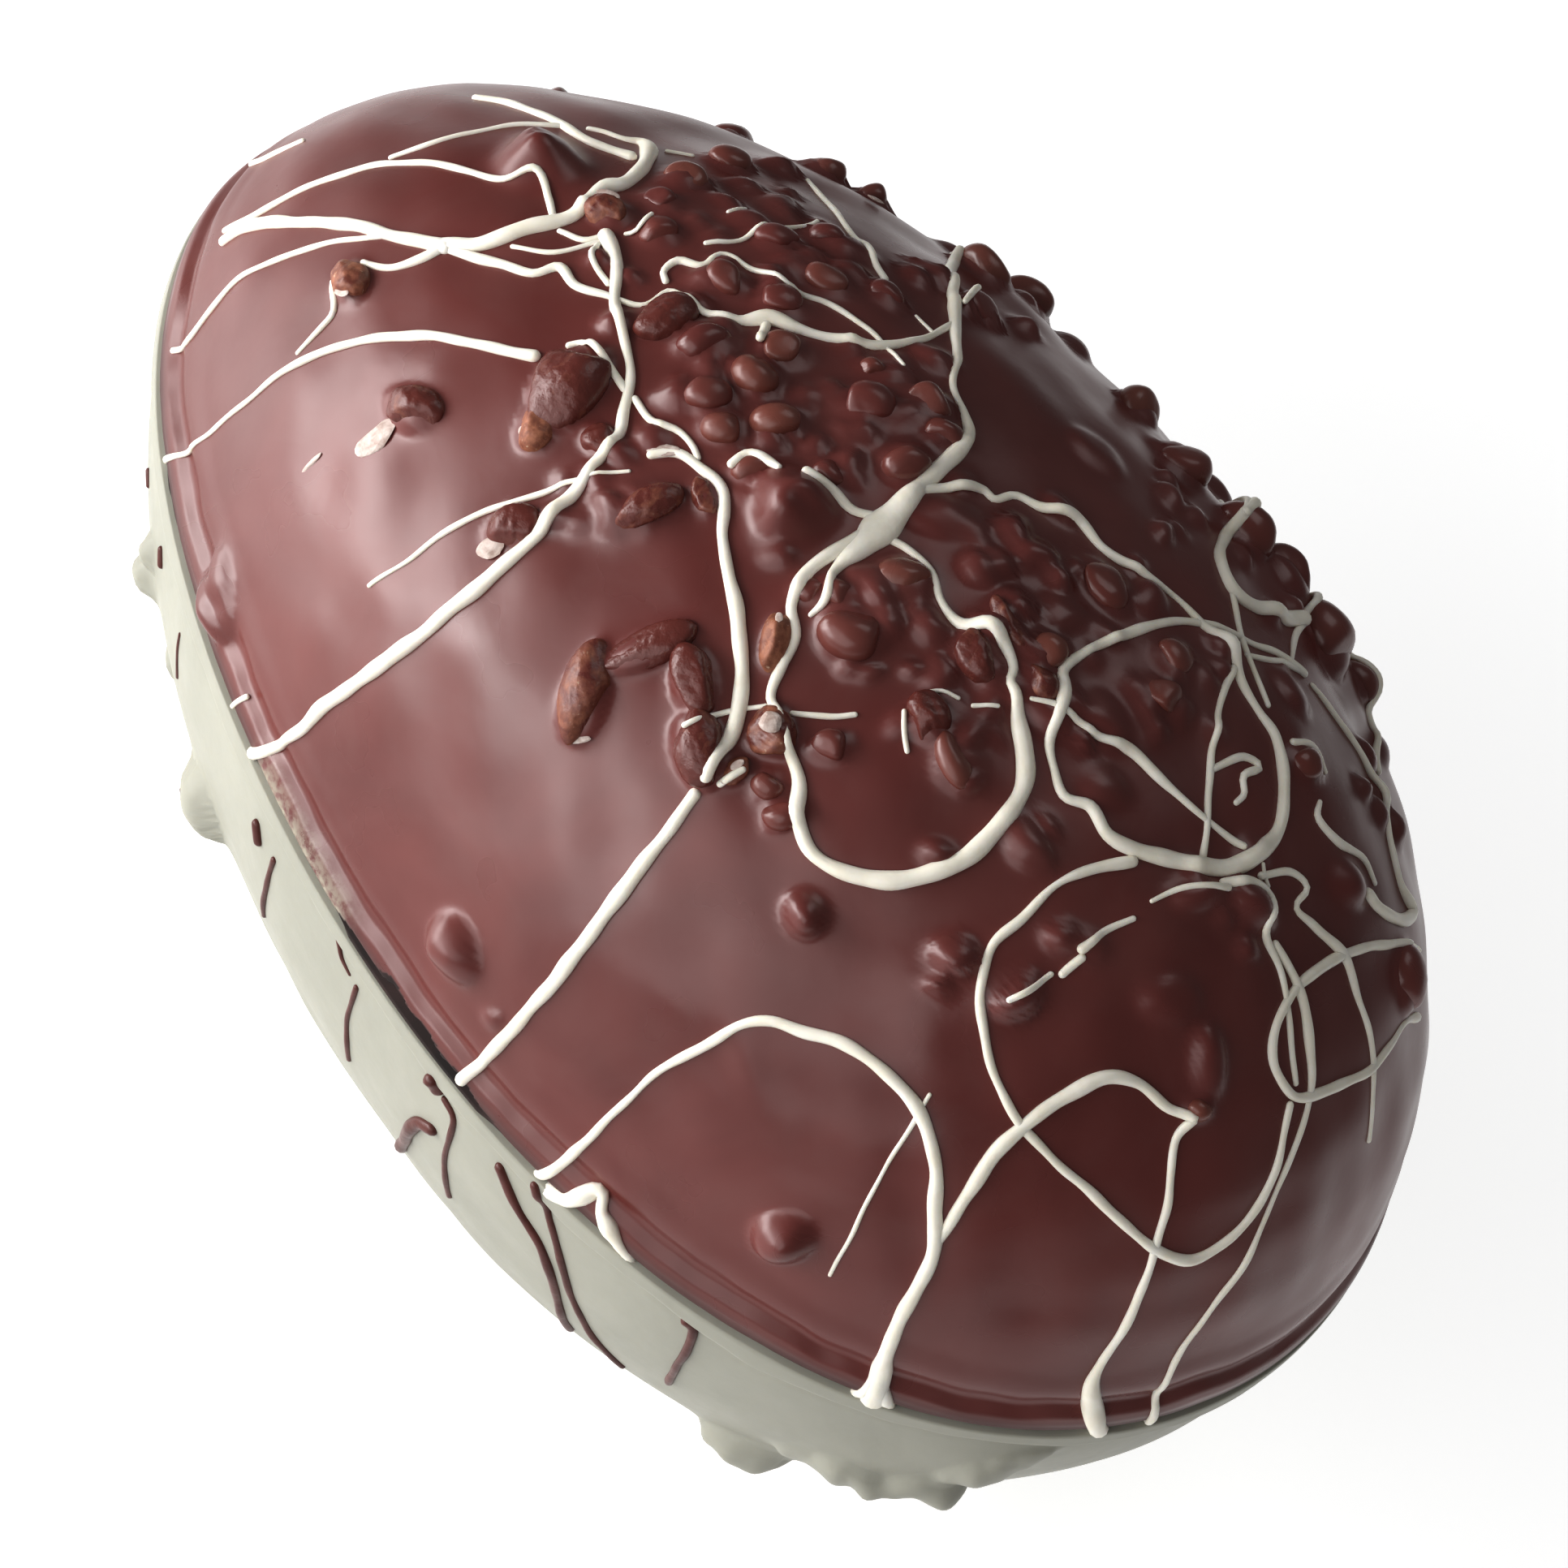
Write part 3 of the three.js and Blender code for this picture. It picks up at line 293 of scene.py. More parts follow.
    "broad_inner": [(1505, 1092, 1.3), (1541, 1090, 1.3), (1564, 1110, 1.2), (1558, 1141, 1.1),
        (1581, 1199, 1), (1593, 1286, 0.9), (1596, 1335, 0.8)],
    "broad_link": [(1554, 1067, 0.6), (1564, 1093, 0.6)],
    "broad_sweep": [(1575, 1165, 1.1), (1606, 1225, 1.5), (1617, 1296, 1.4), (1611, 1363, 1),
        (1588, 1425, 0.9), (1560, 1499, 0.8), (1528, 1559, 1), (1482, 1626, 0.9), (1441, 1690, 1),
        (1415, 1744, 1.3)],
    "broad_loop": [(1747, 1173, 0.8), (1729, 1163, 1), (1696, 1166, 1.3), (1660, 1178, 1.4),
        (1622, 1199, 1.5), (1594, 1227, 1.4), (1573, 1266, 1.3), (1569, 1312, 1.3),
        (1588, 1348, 1.3), (1606, 1354, 1.4), (1647, 1339, 1.4), (1688, 1319, 1.3), (1714, 1289, 1),
        (1729, 1263, 0.8), (1747, 1253, 1.3)],
    "ladle_a": [(1397, 1134, 0.9), (1359, 1151, 1), (1331, 1169, 1.3)],
    "ladle_b": [(1331, 1181, 1.2), (1310, 1201, 1.2)],
    "ladle_c": [(1295, 1201, 0.8), (1269, 1217, 0.8), (1241, 1230, 0.8)],
    "crisp_line": [(1420, 1113, 0.6), (1456, 1095, 0.8), (1508, 1096, 1)],
    "hair_line": [(1147, 1350, 0.6), (1101, 1427, 0.6), (1055, 1513, 0.6), (1024, 1572, 0.6)],
    "skyline_cap": [(1390, 491, 1), (1425, 512, 1)],
    "chip_dash": [(891, 967, 1), (919, 951, 1)],
    "rim_tick": [(295, 868, 0.8), (310, 859, 0.8)],
    "rim_blob": [(670, 1464, 1.4), (684, 1468, 2.6), (702, 1474, 2.2), (722, 1468, 2.6),
        (743, 1468, 1.8), (748, 1488, 1.6), (758, 1506, 2.4), (768, 1526, 1.8), (781, 1558, 1.6)],
    "rim_blob_low": [(686, 1478, 1.4), (706, 1494, 1.2), (730, 1518, 1.6), (748, 1540, 1.2),
        (776, 1560, 1.4)],
}
DARK_DRIZZLE = {
    "bead_a": [(183, 580, 0.8), (183, 598, 0.8)],
    "bead_b": [(199, 677, 1), (199, 695, 1.1)],
    "bead_c": [(318, 1016, 1.3), (320, 1036, 1.5)],
    "bead_d": [(541, 1329, 2.1), (543, 1339, 2.1)],
    "bead_e": [(249, 966, 0.6), (249, 980, 0.6)],
    "line_a": [(222, 781, 0.5), (219, 834, 0.5)],
    "line_b": [(338, 1059, 0.9), (332, 1085, 0.9), (328, 1105, 0.9), (327, 1126, 0.8)],
    "line_c": [(419, 1160, 0.8), (422, 1178, 0.7), (432, 1201, 0.5)],
    "line_d": [(440, 1217, 0.8), (429, 1260, 0.8), (431, 1304, 0.8)],
    "hook": [(534, 1392, 1.8), (519, 1384, 1.9), (504, 1396, 1.9), (496, 1412, 1.8)],
    "line_e": [(549, 1355, 0.9), (560, 1376, 0.9), (550, 1419, 0.9), (555, 1473, 0.9)],
    "line_f": [(618, 1439, 1.4), (641, 1491, 1.4), (667, 1537, 1.4), (685, 1587, 1.4),
        (703, 1634, 1.3)],
    "line_g": [(667, 1455, 1.2), (674, 1484, 1.1), (690, 1541, 1.1), (703, 1593, 1.1),
        (728, 1639, 1.1), (767, 1682, 1.1)],
    "line_h": [(849, 1626, 1.6), (856, 1639, 1.3), (836, 1682, 1.2), (826, 1703, 1.1)],
}

# What the plan can't see is laid by rule. Stations run from the narrow tip at 0 to the broad one at
# 180, and turns from the near rim at 0 over the crest at 90, or under the egg below 0.
FAR_STRANDS = 7
FAR_STRAND_WIDTH = 1.7
FAR_STRAND_STATIONS = (32, 112)    # the first strand's, and from it to the last
FAR_STRAND_TURNS = (112, 13)       # its first stop's, and from each stop to the next
FAR_DARK_LINES = 11
FAR_DARK_STATIONS = (26, 128)
FAR_DARK_DEPTHS = (14, 40)         # how far down the flank a line runs, in degrees of turn
FAR_DARK_WIDTHS = (0.7, 1.5)
FAR_CRISPS = 36                    # as thrown; those that the plan can see are left out
WHITE_SCATTER = 20                 # as thrown, on the white half
SCATTER_STATIONS = (30, 125)       # the first lump's, and from it to the last
SCATTER_SIZES = (5, 3.5)           # the smallest, and from it to the largest
SCATTER_SHAPE = (0.85, 0.38)       # width and height over length

# Mesh fineness.
GRID_HALF = 156          # cells from the crown to the rim
LIP_CELLS = 26           # of which in the moulded edge
LIP_TOP = 8.0            # which ends at this height
FLANK_CELLS = 58         # and on the flanks
FLANK_TOP = 44           # which end at this angle above the seam
BEAD_STEP = 0.7
BEAD_SIDES = 10

# The bits: how wide each is over the collar of chocolate round it, how many flat cuts it has, how
# sharp their edges are, its grain (mm), and how often the ball that it is made from is divided.
BitKind = namedtuple("BitKind", "spread cuts sharpness grain fineness")
CRISP_KIND = BitKind(0.97, 5, 7, 0.012, 4)
NUT_KIND = BitKind(1.12, 8, 12, 0.03, 5)
CHIP_KIND = BitKind(1.1, 6, 60, 0.01, 3)
BIT_LIFT = 0.12          # how high a bit's middle is over the shell, over its lump's height
BIT_THICKNESS = 0.92     # from its middle to its top, over the same
CHIP_THICKNESS = 0.35    # the same of a chip, over half its width


# ---- The egg's own surface ----
REACH_HALVINGS = 40      # how often the searches halve their step
SIGHT_HALVINGS = 20
TURNED_AWAY = -0.12      # the cosine to the line of sight past which the plan can't see a face


def radius_squared(x):
    taper = EGG_LENGTH**2 - 8 * WIDEST_AT * x + 4 * WIDEST_AT**2
    return (EGG_WIDTH / 2) ** 2 * (EGG_LENGTH**2 - 4 * x * x) / taper


def fullness(z):
    return np.where(z > 0, DARK_FULLNESS, WHITE_FULLNESS)


def outside(points):
    """Below 0 inside the egg, above 0 outside."""
    x, y, z = points.T
    return y * y + (z / fullness(z)) ** 2 - radius_squared(x)


def unit(vectors):
    return vectors / np.maximum(np.linalg.norm(vectors, axis=-1, keepdims=True), 1e-12)


def normals_at(points):
    x, y, z = points.T
    step = 0.01
    slope = (radius_squared(x + step) - radius_squared(x - step)) / (2 * step)
    return unit(np.stack([-slope, 2 * y, 2 * z / fullness(z) ** 2], axis=1))


def onto_shell(points):
    """Moves points straight out from, or in to, the long axis until they are on the surface."""
    points = np.array(points, float)
    limit = EGG_LENGTH / 2 - 0.01
    x = np.clip(points[:, 0], -limit, limit)
    reach = np.hypot(points[:, 1], points[:, 2] / fullness(points[:, 2]))
    scale = np.sqrt(radius_squared(x)) / np.maximum(reach, 1e-9)
    return np.stack([x, points[:, 1] * scale, points[:, 2] * scale], axis=1)


def shell_point(station, turn):
    a, b = math.radians(station), math.radians(turn)
    x = -EGG_LENGTH / 2 * math.cos(a)
    radius = math.sqrt(radius_squared(x))
    z = radius * math.sin(b)
    return np.array([x, -radius * math.cos(b), z * float(fullness(z))])


# ---- From the plan to the shell ----
PLAN_BACK = np.array([
    math.sin(PLAN_AZIMUTH) * math.cos(PLAN_ELEVATION),
    -math.cos(PLAN_AZIMUTH) * math.cos(PLAN_ELEVATION),
    math.sin(PLAN_ELEVATION),
])
LEVEL_RIGHT = np.array([math.cos(PLAN_AZIMUTH), math.sin(PLAN_AZIMUTH), 0])
LEVEL_UP = np.cross(PLAN_BACK, LEVEL_RIGHT)
PLAN_RIGHT = LEVEL_RIGHT * math.cos(PLAN_ROLL) + LEVEL_UP * math.sin(PLAN_ROLL)
PLAN_UP = np.cross(PLAN_BACK, PLAN_RIGHT)


def drop_from_plan(places):
    """The points of the shell under places of the plan, along the line of sight. Past the egg's
    outline it is the shell's point nearest to the line of sight."""
    places = np.asarray(places, float)
    eye = PLAN_BACK * PLAN_DISTANCE
    target = (np.outer((places[:, 0] - PLAN_MIDDLE[0]) * PLAN_UNIT, PLAN_RIGHT)
              + np.outer((PLAN_MIDDLE[1] - places[:, 1]) * PLAN_UNIT, PLAN_UP))
    sight = unit(target - eye)
    steps = np.arange(PLAN_DISTANCE - EGG_LENGTH / 2, PLAN_DISTANCE + EGG_LENGTH / 2, 1.0)
    values = np.stack([outside(eye + sight * step) for step in steps])
    hit = (values < 0).any(axis=0)
    far = np.where(hit, steps[np.argmax(values < 0, axis=0)], steps[np.argmin(values, axis=0)])
    near = far - 1.0
    for _ in range(SIGHT_HALVINGS):
        middle = (near + far) / 2
        within = outside(eye + sight * middle[:, None]) < 0
        far = np.where(hit & within, middle, far)
        near = np.where(hit & ~within, middle, near)
    return onto_shell(eye + sight * far[:, None])


def faces_away(points):
    """The plan shows all that it can see, so rules fill only the side turned away from it."""
    return normals_at(np.atleast_2d(points)) @ PLAN_BACK < TURNED_AWAY


# ---- Lumps under the chocolate ----
ROUND = 0.5              # the power that makes a lump's section an ellipse
SOFT = 0.75              # one that makes it taper off
PEAKED = 1.5             # and one that draws it up to a point
OUTLINE_WOBBLE = 0.10    # how uneven a lump's outline is, at most
LUMP_LEAN = 0.2          # how far its top leans, at most
SKIRT_SLOPE = 1.1        # how fast its form runs on below the shell, outside its outline
COLLAR_SHARE = 0.6       # of a standing bit's height is buried in its collar
SWELL_FALL = 1.8         # how fast a swell's height falls off from its middle
SWELL_DEPTH = 20         # how far through the egg a swell is felt, so that it stays on its side
LARGEST_POWER = 60       # of e, so that no sum runs over


class Lump:
    """One crisp or nut: its place, its axes, its half sizes and its own uneven outline."""

    def __init__(self, place, direction, length, width, height, flatness, random):
        self.place = place
        self.normal = normals_at(place[None])[0]
        self.along = unit(direction - self.normal * (direction @ self.normal))
        self.aside = np.cross(self.normal, self.along)
        self.length = length / 2
        self.width = width / 2
        self.height = height
        self.flatness = flatness
        self.wobble = random.uniform(-OUTLINE_WOBBLE, OUTLINE_WOBBLE, 2)
        self.phase = random.uniform(0, 2 * math.pi, 3)
        self.lean = random.uniform(-LUMP_LEAN, LUMP_LEAN, 2)

    def plan_of(self, points):
        """Where points are over its footprint, in units of its half length and half width."""
        away = points - self.place
        return away @ self.along / self.length, away @ self.aside / self.width

    def near(self, points):
        return np.linalg.norm(points - self.place, axis=1) < 2 * self.length + 2

    def height_at(self, points, share):
        """A share of its height over the shell, running on below 0 outside its outline."""
        a, b = self.plan_of(points)
        turn = np.arctan2(b, a)
        edge = (1 + self.wobble[0] * np.cos(2 * turn + self.phase[0])
                + self.wobble[1] * np.cos(3 * turn + self.phase[1]))
        q = np.hypot(a, b) * edge
        dome = np.clip(1 - q * q, 0, 1) ** self.flatness
        dome = dome * (1 + self.lean[0] * a + self.lean[1] * b)
        return share * self.height * dome - SKIRT_SLOPE * np.clip(q - 1, 0, None) * self.width


def plan_lumps(rows, flatness, random):
    places = drop_from_plan([row[:2] for row in rows])
    lumps = []
    for place, (_, _, length, width, height, spin) in zip(places, rows):
        turn = math.radians(spin)
        direction = PLAN_RIGHT * math.cos(turn) - PLAN_UP * math.sin(turn)
        lumps.append(Lump(place, direction, length, width, height, flatness, random))
    return lumps


def crowded_lumps(random):
    """Low bumps of coated crisps, thrown about the middle of each crowd."""
    rows = []
    for across, down, wide, tall, count in CROWDS:
        for _ in range(count):
            size = random.uniform(*CROWD_SIZES)
            rows.append((across + wide * random.normal(), down + tall * random.normal(), size,
                         CROWD_WIDTH * size, random.uniform(*CROWD_HEIGHTS) * size,
                         random.uniform(0, 180)))
    return plan_lumps(rows, SOFT, random)


def seeded_draws(seed):
    """A repeatable source of numbers between 0 and 1, the same as the CAD's."""
    state = seed
    while True:
        state = (state * 1664525 + 1013904223) % 2**32
        yield state / 2**32


def scattered_lumps(count, seed, turn_at, random):
    """Lumps by the CAD's rule on the side turned away from the plan."""
    draws = seeded_draws(seed)
    lumps = []
    for i in range(count):
        station = SCATTER_STATIONS[0] + SCATTER_STATIONS[1] * (i + next(draws)) / count
        place = shell_point(station, turn_at(i, next(draws)))
        size = SCATTER_SIZES[0] + SCATTER_SIZES[1] * next(draws)
        width, height = (share * size for share in SCATTER_SHAPE)
        direction = np.array([next(draws) - 0.5 for _ in range(3)])
        if faces_away(place)[0]:
            lumps.append(Lump(place, direction, size, width, height, ROUND, random))
    return lumps


def raised(points, lumps, share, softness):
    """Height of chocolate over the shell where lumps stand, run together as a coating does."""
    total = np.ones(len(points))
    for lump in lumps:
        close = lump.near(points)
        if close.any():
            powers = lump.height_at(points[close], share) / softness
            total[close] += np.exp(np.clip(powers, -LARGEST_POWER, LARGEST_POWER))
    return softness * np.log(total)


def swollen(points, swells):
    """Height of the broad low rises."""
    total = np.zeros(len(points))
    for swell in swells:
        a, b = swell.plan_of(points)
        beside = np.abs((points - swell.place) @ swell.normal) < SWELL_DEPTH
        total += swell.height * np.exp(-SWELL_FALL * (a * a + b * b)) * beside
    return total


def waves(points, wavelength, seed):
    """Gentle unevenness, about 1 high, made of slanting waves."""
    count = 14
    random = np.random.default_rng(seed)
    total = np.zeros(len(points))
    for _ in range(count):
        direction = unit(random.normal(size=3)) * 2 * math.pi / wavelength
        total += np.cos(points @ (direction * random.uniform(0.6, 1.5)) + random.uniform(0, 7))
    return total / math.sqrt(count / 2)


def foot_gap(points):
    """Height of the groove under the dark half's foot."""
    gap = np.zeros(len(points))
    for middle, half_length, height in FOOT_GAPS:
        along = np.clip(1 - ((points[:, 0] - middle) / half_length) ** 2, 0, 1)
        gap = np.maximum(gap, height * along * (points[:, 1] < 0))
    return gap * (1 + 0.12 * waves(points, 5, 33))


def lip_out(points, heights, lip, broken_foot):
    """How far the moulded edge stands out. It wanders up and down a little along the rim."""
    knots = np.array(lip)
    wander = 0.35 * waves(points, 26, 31) + 0.12 * waves(points, 8, 32)
    drift = np.clip(heights / 3, 0, 1) * wander
    out = np.interp(heights + drift, knots[:, 0], knots[:, 1], left=knots[0, 1], right=0.0)
    if not broken_foot:
        return out
    gap = foot_gap(points)
    broken = np.clip(gap / FOOT_SILL - 1, 0, 1)
    out = np.where(heights < FOOT_SILL, out + (FOOT_SILL_OUT - out) * broken, out)
    inside = broken * np.clip((gap - heights) / 0.4, 0, 1) * (heights > FOOT_SILL)
    return out * (1 - inside) - FOOT_GAP_DEPTH * inside


@dataclass
class Half:
    """One half's form over the plain shell."""

    sign: int            # 1 above the seam, -1 below it
    lip: list            # its moulded edge
    buried: list         # lumps wholly under the chocolate
    standing: list       # lumps that bits stand on
    swells: list
    softness: float      # how widely chocolate runs round a lump (mm)
    unevenness: float    # how high its gentle waves are (mm)
    seed: int            # of its waves
    crumple: float = 0.07    # how uneven its buried lumps are, as a share of their height

    def relief(self, points, share=COLLAR_SHARE):
        """Height over the plain shell, with a share of each standing bit's own height."""
        heights = self.sign * points[:, 2]
        calm = np.clip((heights - 9) / 12, 0, 1)
        long_waves = waves(points, 34, self.seed)
        uneven = self.unevenness * (long_waves + 0.6 * waves(points, 14, self.seed + 1))
        crumpled = 1 + self.crumple * waves(points, 5, self.seed + 2)
        bumps = np.maximum(raised(points, self.buried, 1, self.softness) * crumpled,
                           raised(points, self.standing, share, self.softness))
        lip = lip_out(points, heights, self.lip, self.sign > 0)
        return lip + calm * uneven + swollen(points, self.swells) + bumps


# ---- Meshes ----
RIM_INSET = 0.9          # where the seam face's inner ring is, from the middle to the rim
LEVEL_BELOW = 6.0        # below this height the relief stands out level, not along the normal

BEAD_BULGE = 0.92        # a bead's height over its half width
BEAD_CROWN = 1.15        # wide beads are pools no thicker than this
BEAD_LIFT = 0.12         # share of its height by which its middle is over what it lies on
BEAD_CAPS = [(0.92, 0.4), (0.7, 0.72), (0.38, 0.93)]    # its ends: each ring's size and reach
BEAD_WIDTH_WAVES = [(0.07, 2.3), (0.05, 0.9)]           # share of the width, and their length
BEAD_PATH_WAVES = [(0.10, 3.1), (0.05, 1.3)]            # how far it strays, and their length
CUT_DEPTHS = (0.62, 0.95)
GRAIN_SIZE = 1.4


def make_piece(name, points, faces, smooth=True):
    """A mesh object from points in millimetres measured from the seam plane."""
    mesh = bpy.data.meshes.new(name)
    placed = (np.asarray(points) + (0, 0, SEAM_HEIGHT)) * MM
    mesh.from_pydata(placed.tolist(), [], [tuple(int(i) for i in face) for face in faces])
    mesh.validate()
    mesh.polygons.foreach_set("use_smooth", np.full(len(mesh.polygons), smooth))
    piece = bpy.data.objects.new(name, mesh)
    bpy.context.scene.collection.objects.link(piece)
    return piece


def joined_piece(name, parts, smooth=True):
    """One mesh object from many closed parts, each with its own points and faces."""
    points, faces, count = [], [], 0
    for part_points, part_faces in parts:
        points.append(part_points)
        faces += [tuple(i + count for i in face) for face in part_faces]
        count += len(part_points)
    return make_piece(name, np.concatenate(points), faces, smooth)


def level_reach(angles, heights, full):
    """How far the egg's level curve at each height is from the widest section's axis."""
    inner = np.zeros(len(angles))
    outer = np.full(len(angles), EGG_LENGTH)
    for _ in range(REACH_HALVINGS):
        middle = (inner + outer) / 2
        x = WIDEST_AT + middle * np.cos(angles)
        room = radius_squared(np.clip(x, -EGG_LENGTH / 2, EGG_LENGTH / 2))
        level = room - (middle * np.sin(angles)) ** 2 - (heights / full) ** 2
        within = (np.abs(x) < EGG_LENGTH / 2) & (level > 0)
        inner = np.where(within, middle, inner)
        outer = np.where(within, outer, middle)
    return inner


def dome_grid():
    """A square grid wrapped over a dome without a pole: each vertex's cell count from the crown and
    its angle round it, the grid's faces, and the rim's vertices in order."""
    span = np.arange(-GRID_HALF, GRID_HALF + 1)
    v, u = np.meshgrid(span, span, indexing="ij")
    u, v = u.ravel(), v.ravel()
    level = np.maximum(np.abs(u), np.abs(v))
    safe = np.maximum(level, 1)
    angle = np.where(
        np.abs(u) >= np.abs(v),
        np.pi / 4 * v / safe * np.sign(u) + np.where(u < 0, np.pi, 0),
        np.pi / 2 * np.sign(v) - np.pi / 4 * u / safe * np.sign(v),
    )
    side = len(span)
    index = np.arange(side * side).reshape(side, side)
    faces = np.stack([index[:-1, :-1], index[:-1, 1:], index[1:, 1:], index[1:, :-1]], axis=-1)
    rim = np.concatenate([index[0, :-1], index[:-1, -1], index[-1, :0:-1], index[:0:-1, 0]])
    return level, angle, faces.reshape(-1, 4), rim


def half_piece(name, half, full):
    """A half egg as one closed mesh: the dome with its relief, and a flat face at the seam."""
    level, angle, faces, rim = dome_grid()
    crown = EGG_WIDTH / 2 * full
    knots = [0, GRID_HALF - LIP_CELLS - FLANK_CELLS, GRID_HALF - LIP_CELLS, GRID_HALF]
    rises = [math.pi / 2, math.radians(FLANK_TOP), math.asin(LIP_TOP / crown),
             math.asin(SEAM_GAP / 2 / crown)]
    heights = crown * np.sin(np.interp(level, knots, rises))
    reach = level_reach(angle, heights, full)
    plain = np.stack([WIDEST_AT + reach * np.cos(angle), reach * np.sin(angle),
                      half.sign * heights], axis=1)
    outwards = normals_at(plain)
    near_seam = np.clip(1 - heights / LEVEL_BELOW, 0, 1)[:, None]
    outwards = unit(outwards - near_seam * outwards * [0, 0, 1])
    points = plain + outwards * half.relief(plain)[:, None]
    seam = half.sign * SEAM_GAP / 2
    lowest, highest = (seam, EGG_WIDTH) if half.sign > 0 else (-SEAM_HEIGHT, seam)
    points[:, 2] = np.clip(points[:, 2], lowest, highest)
    axis = [WIDEST_AT, 0, 0]
    inner = (points[rim] - axis) * [RIM_INSET, RIM_INSET, 1] + axis
    first_inner = len(points)
    middle = first_inner + len(rim)
    points = np.concatenate([points, inner, [[WIDEST_AT, 0, seam]]])
    ring = np.arange(len(rim))
    pairs = list(zip(ring, np.roll(ring, -1)))
    all_faces = [tuple(face) for face in faces]
    all_faces += [(rim[b], rim[a], first_inner + a, first_inner + b) for a, b in pairs]
    all_faces += [(first_inner + b, first_inner + a, middle) for a, b in pairs]
    if half.sign < 0:
        all_faces = [tuple(reversed(face)) for face in all_faces]
    return make_piece(name, points, all_faces)


def between(s, start, end, first, last):
    """The value at s on the line from first, at start, to last, at end."""
    return ((end - s) * first + (s - start) * last) / (end - start)


def smooth_path(waypoints, step):
    """Points at even steps on a centripetal Catmull-Rom curve, with widths carried along."""
    knots = np.asarray(waypoints, float)
    ends = np.array([2 * knots[0] - knots[1], 2 * knots[-1] - knots[-2]])
    p = np.concatenate([ends[:1], knots, ends[1:]])
    gaps = np.sqrt(np.linalg.norm(np.diff(p[:, :3], axis=0), axis=1)) + 1e-6
    t = np.concatenate([[0], np.cumsum(gaps)])
    dense = []
    for i in range(len(p) - 3):
        s = np.linspace(t[i + 1], t[i + 2], 40, endpoint=i == len(p) - 4)[:, None]
        values = p[i:i + 4]
        for reach in (1, 2):
            values = [between(s, t[i + k], t[i + k + reach], values[k], values[k + 1])
                      for k in range(4 - reach)]
        dense.append(between(s, t[i + 1], t[i + 2], *values))
    dense = np.concatenate(dense)
    lengths = np.linalg.norm(np.diff(dense[:, :3], axis=0), axis=1)
    along = np.concatenate([[0], np.cumsum(lengths)])
    stops = np.linspace(0, along[-1], max(4, int(round(along[-1] / step)) + 1))
    return np.stack([np.interp(stops, along, dense[:, k]) for k in range(4)], axis=1), stops


def eased(values, reach):
    """Values averaged along a path, as a stiffening bead spans small dips."""
    if len(values) < 3:
        return values
    offsets = np.arange(-reach, reach + 1)
    weights = np.exp(-((offsets / max(reach / 2, 0.5)) ** 2))
    padded = np.pad(values, reach, mode="edge")
    return np.convolve(padded, weights / weights.sum(), mode="valid")


def wavering(stops, parts, phases, level):
    """A level with small waves along a path, each with its height and length."""
    return sum((high * np.sin(stops / long + phase) for (high, long), phase in zip(parts, phases)),
               level)


def bead(waypoints, half, seed):
    """One bead of drizzle: its points and faces, round on top and sunk in what it crosses."""
    path, stops = smooth_path(waypoints, BEAD_STEP)
    phases = np.random.default_rng(seed).uniform(0, 2 * math.pi, 4)
    centres = onto_shell(path[:, :3])
    radii = path[:, 3] / 2 * wavering(stops, BEAD_WIDTH_WAVES, phases[:2], 1)
    normals = normals_at(centres)
    forward = unit(np.gradient(centres, axis=0))
    aside = unit(np.cross(normals, forward))
    drift = wavering(stops, BEAD_PATH_WAVES, phases[2:], 0)
    centres = onto_shell(centres + aside * drift[:, None])
    heights = half.relief(centres, 1)
    heights = np.maximum(eased(heights, 3), 0.5 * (heights + eased(heights, 1)))
    rows = [(0, size, -reach) for size, reach in reversed(BEAD_CAPS)]
    rows += [(i, 1.0, 0.0) for i in range(len(centres))]
    rows += [(len(centres) - 1, size, reach) for size, reach in BEAD_CAPS]
    turns = 2 * math.pi * (np.arange(BEAD_SIDES) + 0.5) / BEAD_SIDES
    rings = []
    for i, size, reach in rows:
        crown = min(BEAD_BULGE * radii[i], BEAD_CROWN)
        lift = heights[i] + BEAD_LIFT * crown
        middle = centres[i] + normals[i] * lift + forward[i] * reach * radii[i]
        rings.append(middle + np.outer(np.cos(turns) * radii[i] * size, aside[i])
                     + np.outer(np.sin(turns) * crown * size, normals[i]))
    first = centres[0] + normals[0] * heights[0] - forward[0] * radii[0]
    last = centres[-1] + normals[-1] * heights[-1] + forward[-1] * radii[-1]
    points = np.concatenate([[first], *rings, [last]])
    sides = [(side, (side + 1) % BEAD_SIDES) for side in range(BEAD_SIDES)]
    faces = []
    for ring in range(len(rings) - 1):
        low = 1 + ring * BEAD_SIDES
        high = low + BEAD_SIDES
        faces += [(low + a, low + b, high + b, high + a) for a, b in sides]
    for a, b in sides:
        faces += [(0, 1 + b, 1 + a), (len(points) - 1, high + a, high + b)]
    return points, faces


def drizzle_piece(name, paths, half):
    """All beads of one colour as one mesh."""
    return joined_piece(name, [bead(path, half, seed) for seed, path in enumerate(paths)])


def unit_ball(fineness):
    """Points and faces of a ball of radius 1."""
    ball = bmesh.new()
    bmesh.ops.create_icosphere(ball, subdivisions=fineness, radius=1.0)
    points = np.array([vertex.co[:] for vertex in ball.verts])
    faces = [tuple(vertex.index for vertex in face.verts) for face in ball.faces]
    ball.free()
    return points, faces


def broken_ball(ball, cuts, sharpness, random):
    """A ball cut flat at random places, with the edges of the cuts a little rounded."""
    planes = unit(random.normal(size=(cuts, 3)))
    depths = random.uniform(*CUT_DEPTHS, cuts)
    reach = np.clip(ball @ planes.T, 0, None) / depths
    return ball / ((1 + (reach**sharpness).sum(axis=1)) ** (1 / sharpness))[:, None]


